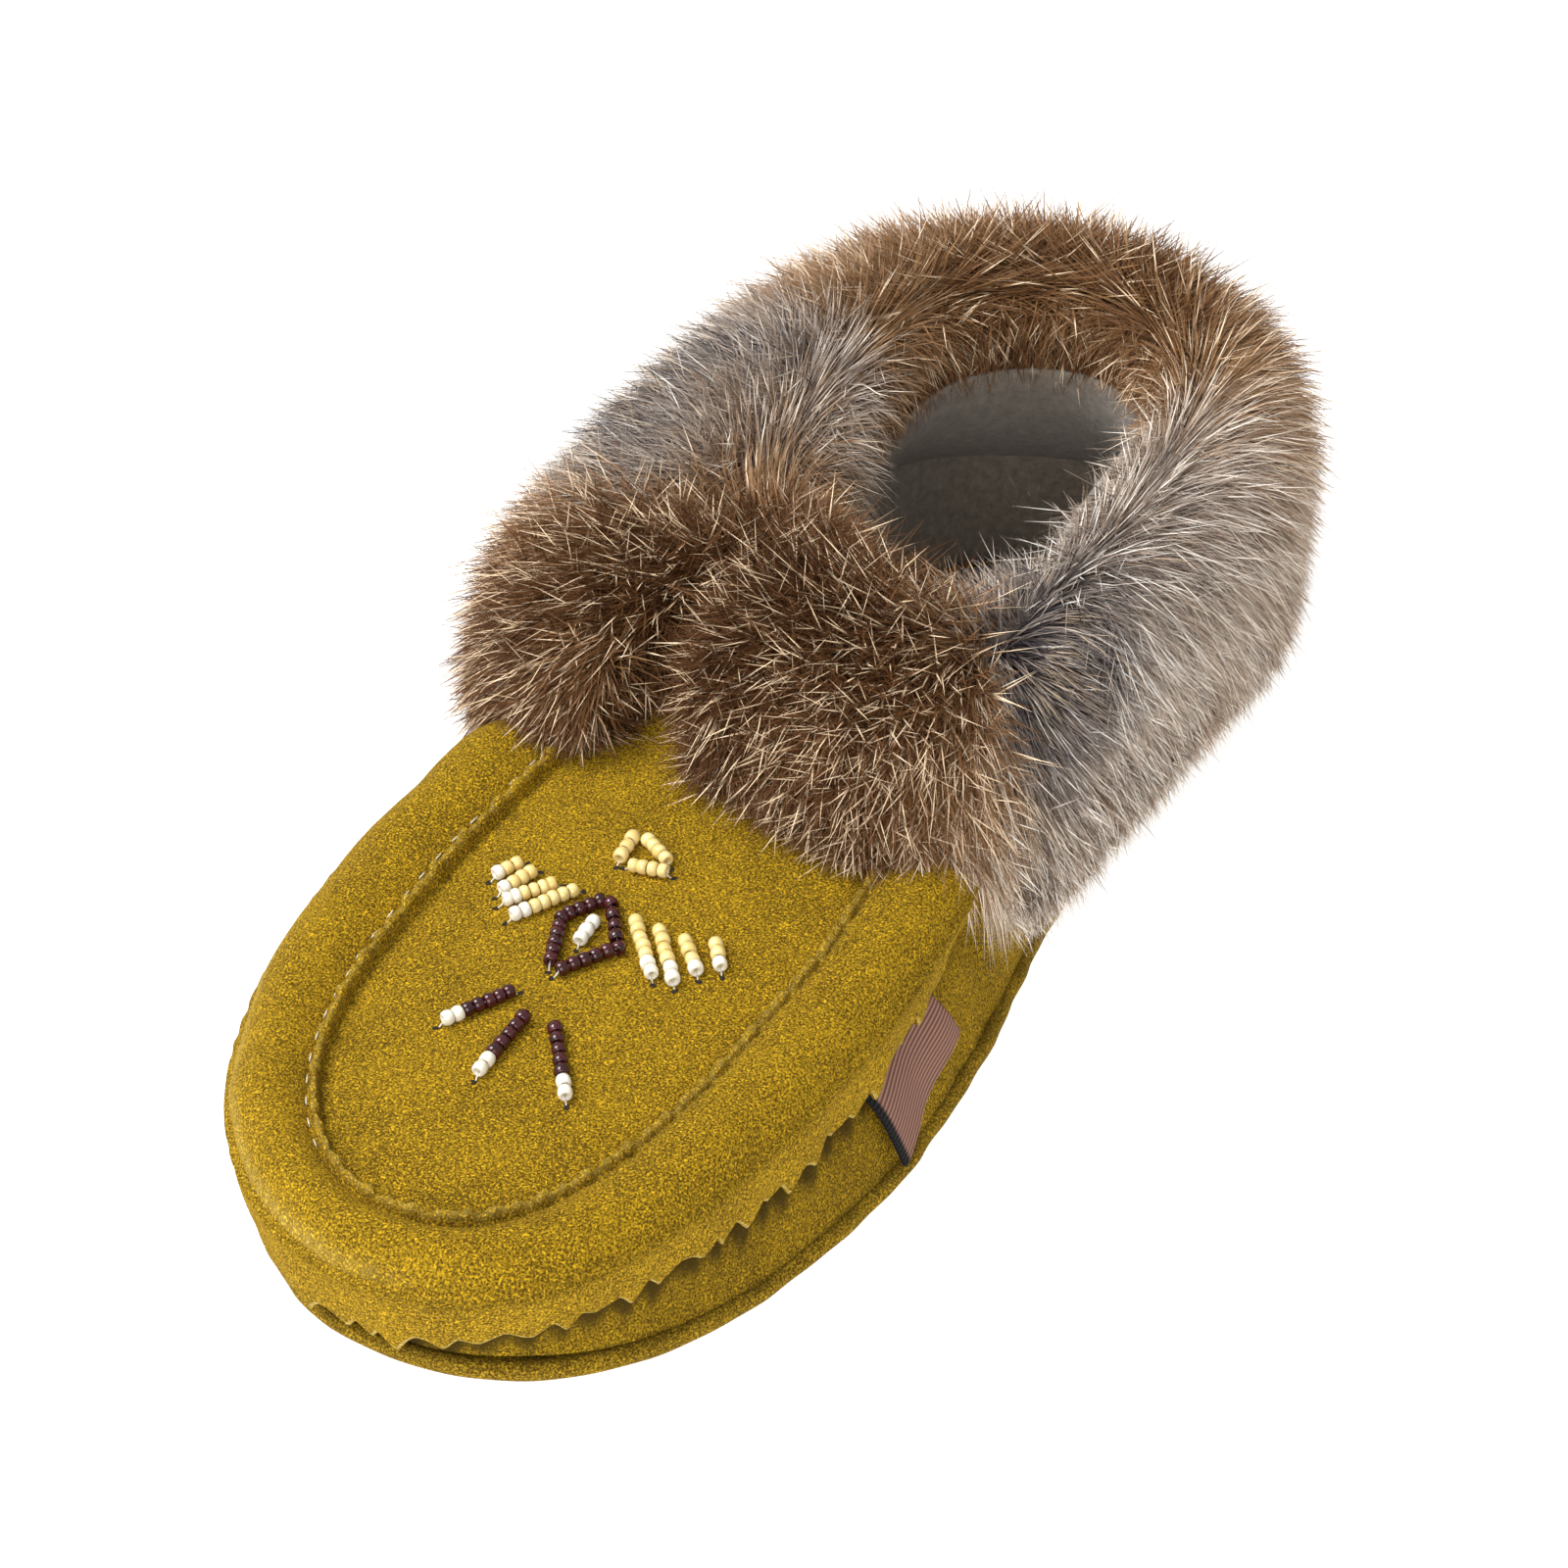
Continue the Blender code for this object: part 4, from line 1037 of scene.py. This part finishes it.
closed_cuff = [(k, *CUFF_ROWS[k % 18]) for k in range(-2, 21)]
closed_section = [(k, *CUFF_SECTION[k % 14]) for k in range(-2, 17)]
station = np.arange(PELT_STATIONS) / PELT_STATIONS * 18
step = np.arange(PELT_STEPS) / PELT_STEPS * 14
cuff_in = np.stack([along_rows(closed_cuff, station, c) for c in (1, 2)], axis=1) * BALL_WIDTH
cuff_out = np.stack([along_rows(closed_cuff, station, c) for c in (3, 4)], axis=1) * BALL_WIDTH
cuff_top = along_rows(closed_cuff, station, 5) * QUARTER_HEIGHT
cuff_low = along_rows(closed_cuff, station, 6) * QUARTER_HEIGHT
in_out = along_rows(closed_section, step, 1)
rise = along_rows(closed_section, step, 2)
plan = cuff_in[:, None, :] + (cuff_out - cuff_in)[:, None, :] * in_out[None, :, None]
heights = cuff_low[:, None] + (cuff_top - cuff_low)[:, None] * rise[None, :]
tube = np.concatenate([plan, heights[:, :, None]], axis=2)


def wrapped_slope(field, axis):
    return (np.roll(field, -1, axis=axis) - np.roll(field, 1, axis=axis)) / 2


tube_round = wrapped_slope(tube, 0)
tube_down = wrapped_slope(tube, 1)
tube_out = np.cross(tube_down, tube_round)
tube_out /= np.linalg.norm(tube_out, axis=2)[:, :, None] + 1e-12
core = tube.mean(axis=1, keepdims=True)
tube_out *= np.sign((tube_out * (tube - core)).sum(axis=2).mean())
down_unit = tube_down / (np.linalg.norm(tube_down, axis=2)[:, :, None] + 1e-12)
round_unit = tube_round / (np.linalg.norm(tube_round, axis=2)[:, :, None] + 1e-12)
soft_lie = np.clip((step[None, :] - 2.2) / 1.2, -1, 1) * np.ones((PELT_STATIONS, 1))
soft_lie = np.where(step[None, :] > 10.5, -1.0, soft_lie)
pelt = tube - tube_out * HAIR_DEPTH
PARTINGS = (
    # from_x, from_y, from_z, to_x, to_y, to_z, reach, depth, how strongly hair leans away
    (0.042, 0.0085, 0.0715, 0.055, 0.008, 0.050, 0.0090, 0.0060, 1.7),
    (-0.012, -0.020, 0.045, -0.021, -0.007, 0.063, 0.0055, 0.0048, 1.1),
    (0.006, 0.013, 0.075, -0.040, 0.026, 0.070, 0.0050, 0.0025, 0.5),
)
lean_away = np.zeros_like(tube)
for from_x, from_y, from_z, to_x, to_y, to_z, reach, depth, strength in PARTINGS:
    start, run = np.array([from_x, from_y, from_z]), np.array([to_x - from_x, to_y - from_y, to_z - from_z])
    along = np.clip(((tube - start) @ run) / (run @ run), 0, 1)[:, :, None]
    away = tube - start - along * run
    gap = np.linalg.norm(away, axis=2, keepdims=True)
    pelt = pelt - tube_out * depth * np.exp(-(gap / reach) ** 2)
    lean_away += strength * away / (gap + 0.001) * np.exp(-(gap / (2.2 * reach)) ** 2)

# Pelt hide: the thin leather of the pelt, hidden under the hair
# It wraps over the collar rim and is sewn to the quarters. The hair is rooted in it.
bm = bmesh.new()
hide_places = pelt[::2, ::3]
laid_grid(bm, closed(np.concatenate([hide_places, hide_places[:1]])))

COAT_PATCHES = (
    # x, y, z, reach, coat, tips, ruffle, length
    # coat: 0 dark brown, 0.2 brown, 0.4 golden, 0.6 grey brown, 0.8 grey, 1 slate
    (-0.043, -0.002, 0.058, 0.020, 0.07, 0.50, 0.85, 0.0140),
    (-0.010, -0.007, 0.062, 0.020, 0.05, 0.36, 1.00, 0.0115),
    (-0.009, 0.003, 0.069, 0.014, 0.08, 0.34, 1.00, 0.0115),
    (0.024, -0.023, 0.056, 0.018, 0.10, 0.52, 0.95, 0.0120),
    (0.026, -0.006, 0.070, 0.012, 0.07, 0.42, 1.00, 0.0120),
    (0.009, 0.013, 0.073, 0.014, 0.10, 0.36, 0.95, 0.0175),
    (0.034, -0.001, 0.070, 0.008, 0.10, 0.55, 0.95, 0.0120),
    (-0.020, 0.027, 0.071, 0.011, 0.40, 0.12, 0.60, 0.0115),
    (-0.026, -0.013, 0.058, 0.007, 0.38, 0.16, 0.60, 0.0090),
    (-0.020, -0.015, 0.046, 0.007, 0.30, 0.20, 0.60, 0.0090),
    (-0.014, -0.017, 0.053, 0.004, 0.02, 0.10, 0.60, 0.0070),
    (-0.045, 0.014, 0.064, 0.010, 0.20, 0.42, 0.85, 0.0140),
    (-0.060, 0.020, 0.045, 0.020, 0.14, 0.60, 0.80, 0.0170),
    (-0.045, 0.036, 0.069, 0.015, 1.00, 0.12, 0.45, 0.0130),
    (-0.040, 0.062, 0.074, 0.015, 0.96, 0.14, 0.45, 0.0130),
    (-0.029, 0.050, 0.073, 0.010, 0.42, 0.20, 0.50, 0.0120),
    (-0.060, 0.060, 0.050, 0.024, 0.95, 0.20, 0.40, 0.0145),
    (-0.026, 0.086, 0.077, 0.014, 0.40, 0.24, 0.50, 0.0130),
    (-0.007, 0.108, 0.078, 0.020, 0.24, 0.36, 0.50, 0.0155),
    (0.022, 0.106, 0.078, 0.018, 0.20, 0.36, 0.50, 0.0155),
    (-0.045, 0.110, 0.060, 0.024, 0.52, 0.32, 0.40, 0.0165),
    (0.000, 0.140, 0.050, 0.030, 0.40, 0.38, 0.40, 0.0150),
    (0.038, 0.104, 0.073, 0.015, 0.36, 0.50, 0.45, 0.0140),
    (0.047, 0.082, 0.072, 0.014, 0.52, 0.60, 0.40, 0.0145),
    (0.052, 0.060, 0.066, 0.018, 0.70, 0.66, 0.62, 0.0150),
    (0.052, 0.036, 0.063, 0.014, 0.72, 0.66, 0.62, 0.0145),
    (0.057, 0.050, 0.040, 0.020, 0.63, 0.64, 0.46, 0.0100),
    (0.055, 0.090, 0.042, 0.022, 0.62, 0.52, 0.40, 0.0110),
    (0.0415, 0.0105, 0.0725, 0.010, 1.00, 0.06, 0.35, 0.0100),
    (0.0470, 0.0115, 0.0660, 0.013, 1.00, 0.04, 0.35, 0.0095),
    (0.0530, 0.010, 0.0550, 0.009, 0.97, 0.20, 0.40, 0.0100),
    (0.050, -0.012, 0.038, 0.014, 0.62, 0.84, 0.50, 0.0110),
    (0.056, 0.022, 0.038, 0.014, 0.70, 0.66, 0.50, 0.0105),
    (0.031, 0.013, 0.075, 0.009, 0.66, 0.55, 0.55, 0.0140),
    (0.040, -0.015, 0.052, 0.011, 0.34, 0.72, 0.75, 0.0125),
    (0.000, 0.100, 0.060, 0.018, 0.16, 0.25, 0.45, 0.0100),
)


def coat_at(places):
    """Coat colour, share of pale-tipped hairs, ruffle and length at an array of places on the cuff."""
    total = np.full(len(places), 1e-9)
    mixed = np.zeros((len(places), 4))
    for x, y, z, reach, coat, tips, ruffle, length in COAT_PATCHES:
        gap = ((places - np.array([x, y, z])) ** 2).sum(axis=1)
        weight = np.exp(-gap / reach ** 2) + 1e-8 / (gap + 1e-5)
        total += weight
        mixed += weight[:, None] * np.array([coat, tips, ruffle, length])
    return mixed / total[:, None]


def coat_finish(name, roughness):
    """Hair colour from the coat map: across is the coat, up is from root to tip."""
    finish, tree, shader = new_material(name, Roughness=roughness, Specular_IOR_Level=0.12)
    coat_map = tree.nodes.new("ShaderNodeUVMap")
    coat_map.uv_map = "coat"
    split = add_node(tree, "SeparateXYZ", Vector=coat_map.outputs["UV"]).outputs
    colours = []
    for column in (1, 2, 3):
        ramp = add_node(tree, "ValToRGB", Fac=split["X"])
        elements = ramp.color_ramp.elements
        while len(elements) < len(COAT_STOPS):
            elements.new(0.5)
        for element, stop in zip(elements, COAT_STOPS):
            element.position = stop[0]
            element.color = (*stop[column], 1)
        colours.append(ramp.outputs["Color"])
    root, middle, tip = colours
    lower = colour_mix(tree, spread(tree, split["Y"], 0.10, 0.45), root, middle)
    fill(tree, shader, Base_Color=colour_mix(tree, spread(tree, split["Y"], 0.52, 0.68), lower, tip))
    return finish


# Ramps over the coat: plain hairs in the lower half (0 to 0.5), pale-tipped guard hairs in the upper half.
COAT_STOPS = (
    # share of the coat, root, middle, tip
    (0.00, (0.012, 0.006, 0.003), (0.076, 0.031, 0.011), (0.104, 0.044, 0.016)),
    (0.10, (0.022, 0.010, 0.004), (0.156, 0.068, 0.025), (0.210, 0.096, 0.037)),
    (0.20, (0.090, 0.042, 0.014), (0.320, 0.176, 0.076), (0.420, 0.245, 0.122)),
    (0.30, (0.085, 0.058, 0.040), (0.225, 0.155, 0.108), (0.560, 0.430, 0.325)),
    (0.40, (0.140, 0.112, 0.096), (0.310, 0.252, 0.215), (0.760, 0.660, 0.575)),
    (0.455, (0.024, 0.022, 0.030), (0.050, 0.047, 0.058), (0.115, 0.108, 0.124)),
    (0.505, (0.016, 0.008, 0.004), (0.060, 0.028, 0.011), (1.000, 0.760, 0.500)),
    (0.60, (0.028, 0.014, 0.007), (0.120, 0.060, 0.026), (1.000, 0.770, 0.520)),
    (0.70, (0.080, 0.040, 0.016), (0.400, 0.215, 0.090), (1.000, 0.790, 0.570)),
    (0.80, (0.090, 0.064, 0.046), (0.330, 0.235, 0.168), (1.000, 0.900, 0.760)),
    (0.90, (0.150, 0.122, 0.105), (0.430, 0.360, 0.310), (1.000, 0.940, 0.860)),
    (0.955, (0.030, 0.028, 0.036), (0.065, 0.061, 0.072), (0.900, 0.860, 0.820)),
)
coat_hair = coat_finish("banded hair", 0.5)
pelt_hide = hand_over(bm, "pelt_hide", coat_finish("pelt underside", 0.9))
hide_map = pelt_hide.data.uv_layers.new(name="coat")
hide_co = places_of(pelt_hide)
corner_vert = np.empty(len(pelt_hide.data.loops), int)
pelt_hide.data.loops.foreach_get("vertex_index", corner_vert)
hide_coat = coat_at(hide_co)[:, 0] * 0.5
hide_uv = np.stack([hide_coat[corner_vert], np.full(len(corner_vert), 0.12)], axis=1)
hide_map.data.foreach_set("uv", hide_uv.astype(np.float32).ravel())
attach(pelt_hide, "root")
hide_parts("fur_collar")

# Fleece facing: the grey fleece that turns up behind the fur's inner edge
# It covers the hide's inner face inside the mouth and is sewn to the lining.
facing_steps = (step > 11.0) & (step < 13.95)
facing_near = np.swapaxes(pelt[::2, facing_steps] + tube_out[::2, facing_steps] * 0.0014, 0, 1)
facing_far = np.swapaxes(pelt[::2, facing_steps] + tube_out[::2, facing_steps] * 0.0004, 0, 1)
facing_rows = np.concatenate([facing_near, facing_far[::-1], facing_near[:1]])
bm = bmesh.new()
laid_grid(bm, closed(facing_rows))
facing = hand_over(bm, "fleece_facing", fleece)
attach(facing, "root")


def lowest_for_hair(x, y):
    """Height that a hair stays above: the vamp's suede under it, or a margin over the floor."""
    on_vamp = (np.abs(x) < 0.044) & (y < 0.004) & (y > -0.10)
    crown = PLUG_CROWN * np.clip(1 - (x / 0.03) ** 2, 0, 1)
    side_drop = np.clip((np.abs(x) - 0.036) / 0.012, 0, 1) * 0.010
    top = roll_height(y) + PLUG_EDGE_HEIGHT + crown + 0.0012 - side_drop
    top += np.exp(-((np.abs(x) - 0.040) / 0.007) ** 2) * 0.0028
    return np.where(on_vamp, top, 0.0065)


def grow_hair(name, seed, count, segments, length, width, pale, lift, chaos, gather):
    """A joined mesh of flat tapering hairs rooted all over the pelt."""
    rng = np.random.default_rng(seed)
    area = np.linalg.norm(np.cross(tube_round, tube_down), axis=2)
    grown = step < 11.0
    share = (area * grown[None, :] * np.where(step < 1.2, 0.75, 1.0)[None, :]).ravel()
    share /= share.sum()
    cell = rng.choice(area.size, size=count, p=share)
    i = cell // PELT_STEPS
    j = cell % PELT_STEPS
    fi = rng.random(count)[:, None]
    fj = rng.random(count)[:, None]

    def pick(field):
        """Value of a field on the pelt at each root."""
        next_i, next_j = (i + 1) % PELT_STATIONS, (j + 1) % PELT_STEPS
        a = field[i, j] * (1 - fj) + field[i, next_j] * fj
        b = field[next_i, j] * (1 - fj) + field[next_i, next_j] * fj
        return a * (1 - fi) + b * fi

    root = pick(pelt)
    normal = pick(tube_out)
    flow = pick(down_unit * soft_lie[:, :, None])
    sideways = pick(round_unit)
    coat = coat_at(root + normal * HAIR_DEPTH)
    ruffle = coat[:, 2:3]
    inside = np.clip((2.3 - step) / 1.4, 0, 1)
    inside = pick(np.repeat(inside[None, :, None], PELT_STATIONS, axis=0))
    # Locks: hairs near the same lock centre lean the same way
    lock_cell = rng.choice(area.size, size=1400, p=share)
    lock_place = pelt[lock_cell // PELT_STEPS, lock_cell % PELT_STEPS]
    lock_place = lock_place + rng.normal(0, 0.001, lock_place.shape)
    lock_turn = rng.normal(0, 1, len(lock_place))
    lock = nearest(root, lock_place)[0]
    swing = lock_turn[lock][:, None] * 0.45 + rng.normal(0, 1, (count, 1)) * chaos
    swing = swing * (0.22 + 1.15 * ruffle)
    stand = np.clip(lift + rng.normal(0, 0.22, (count, 1)), 0.12, 1.3) * (1 - 0.6 * inside)
    tangent = flow * np.cos(swing) + sideways * np.sin(swing) + pick(lean_away)
    tangent -= normal * (tangent * normal).sum(axis=1, keepdims=True)
    tangent /= np.linalg.norm(tangent, axis=1)[:, None] + 1e-9
    start_dir = tangent * np.cos(stand) + normal * np.sin(stand)
    sag = np.array([0, 0, -0.20]) * (1 - 0.8 * inside)
    bend = flow * 0.30 - normal * 0.22 + sag + rng.normal(0, 0.12, (count, 3))
    bend += (lock_place[lock] - root) / 0.006 * gather * (1.7 - ruffle)
    bend *= 1.15 - 0.75 * ruffle
    mouth_trim = np.where(root[:, 1:2] > 0.06, 0.55, 0.26) * inside
    reach = coat[:, 3:4] * length * (0.70 + 0.55 * rng.random((count, 1))) * (1 - mouth_trim)
    low_down = pick(np.repeat(np.clip((step - 5.5) / 3.5, 0, 1)[None, :, None], PELT_STATIONS, axis=0))
    reach *= 1 - low_down * np.where(root[:, 1:2] > -0.008, 0.36, 0.20)
    own = rng.normal(0, 1, (count, 1))
    across = np.cross(start_dir, normal + rng.normal(0, 0.5, (count, 3)))
    across /= np.linalg.norm(across, axis=1)[:, None] + 1e-9
    pale_hair = rng.random(count) < coat[:, 1] * pale
    half = width / 2 * (0.75 + 0.5 * rng.random((count, 1))) * (1 + 0.35 * ruffle * pale_hair[:, None])
    per_hair = 2 * segments + 1
    verts = np.empty((count, per_hair, 3))
    along_hair = np.empty(per_hair)
    for s in range(segments + 1):
        t = s / segments
        point = root + reach * (start_dir * t + bend * 0.5 * t ** 2)
        floor_height = lowest_for_hair(point[:, 0], point[:, 1]) + 0.0006 * own[:, 0] ** 2
        point[:, 2] = np.maximum(point[:, 2], floor_height)
        if s < segments:
            taper = (1 - t) ** 0.6 if s else 0.8
            verts[:, 2 * s] = point - across * half * taper
            verts[:, 2 * s + 1] = point + across * half * taper
            along_hair[2 * s:2 * s + 2] = t
        else:
            verts[:, 2 * s] = point
            along_hair[2 * s] = 1.0
    base = (np.arange(count) * per_hair)[:, None]
    quads = np.concatenate([
        base + np.array([2 * s, 2 * s + 1, 2 * s + 3, 2 * s + 2]) for s in range(segments - 1)])
    tips = base + np.array([2 * segments - 2, 2 * segments - 1, 2 * segments])
    loops = np.concatenate([quads.ravel(), tips.ravel()])
    starts = np.concatenate([np.arange(len(quads)) * 4, len(quads) * 4 + np.arange(len(tips)) * 3])
    mesh = bpy.data.meshes.new(name)
    mesh.vertices.add(count * per_hair)
    mesh.vertices.foreach_set("co", verts.astype(np.float32).ravel())
    mesh.loops.add(len(loops))
    mesh.loops.foreach_set("vertex_index", loops.astype(np.int32))
    mesh.polygons.add(len(starts))
    mesh.polygons.foreach_set("loop_start", starts.astype(np.int32))
    mesh.update(calc_edges=True)
    jitter = rng.normal(0, 0.05, count) + rng.normal(0, 0.07, len(lock_place))[lock]
    tone = np.clip(coat[:, 0] + jitter, 0.0, 1.0) * 0.49
    tone = np.where(pale_hair, tone + 0.51, tone)
    hair_of_loop = loops // per_hair
    rank = loops % per_hair
    lock_shade = rng.random(len(lock_place))[lock] * 0.55 + rng.random(count) * 0.25 + 0.42
    ripeness = np.where(pale_hair, 1.0, lock_shade)
    shown = np.minimum(along_hair[rank] * ripeness[hair_of_loop], 1.0)
    coords = np.stack([tone[hair_of_loop], shown], axis=1).astype(np.float32)
    for map_name in ("coat", "OFBake"):
        layer = mesh.uv_layers.new(name=map_name)
        layer.data.foreach_set("uv", coords.ravel())
    mesh.materials.append(coat_hair)
    piece = bpy.data.objects.new(name, mesh)
    bpy.context.scene.collection.objects.link(piece)
    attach(piece, "root")


# Underfur and guard hair: two meshes of each, so that none grows too large
# name, seed, count, segments, length, width, pale share, lift, chaos, gather to the lock
grow_hair("underfur_a", 11, 62000, 2, 0.80, 0.00032, 0.00, 0.75, 0.35, 0.34)
grow_hair("underfur_b", 12, 62000, 2, 0.92, 0.00028, 0.05, 0.70, 0.40, 0.38)
grow_hair("guard_hair_a", 21, 60000, 2, 1.05, 0.00040, 0.60, 0.62, 0.95, 0.16)
grow_hair("guard_hair_b", 22, 60000, 2, 1.20, 0.00030, 0.50, 0.58, 1.10, 0.12)
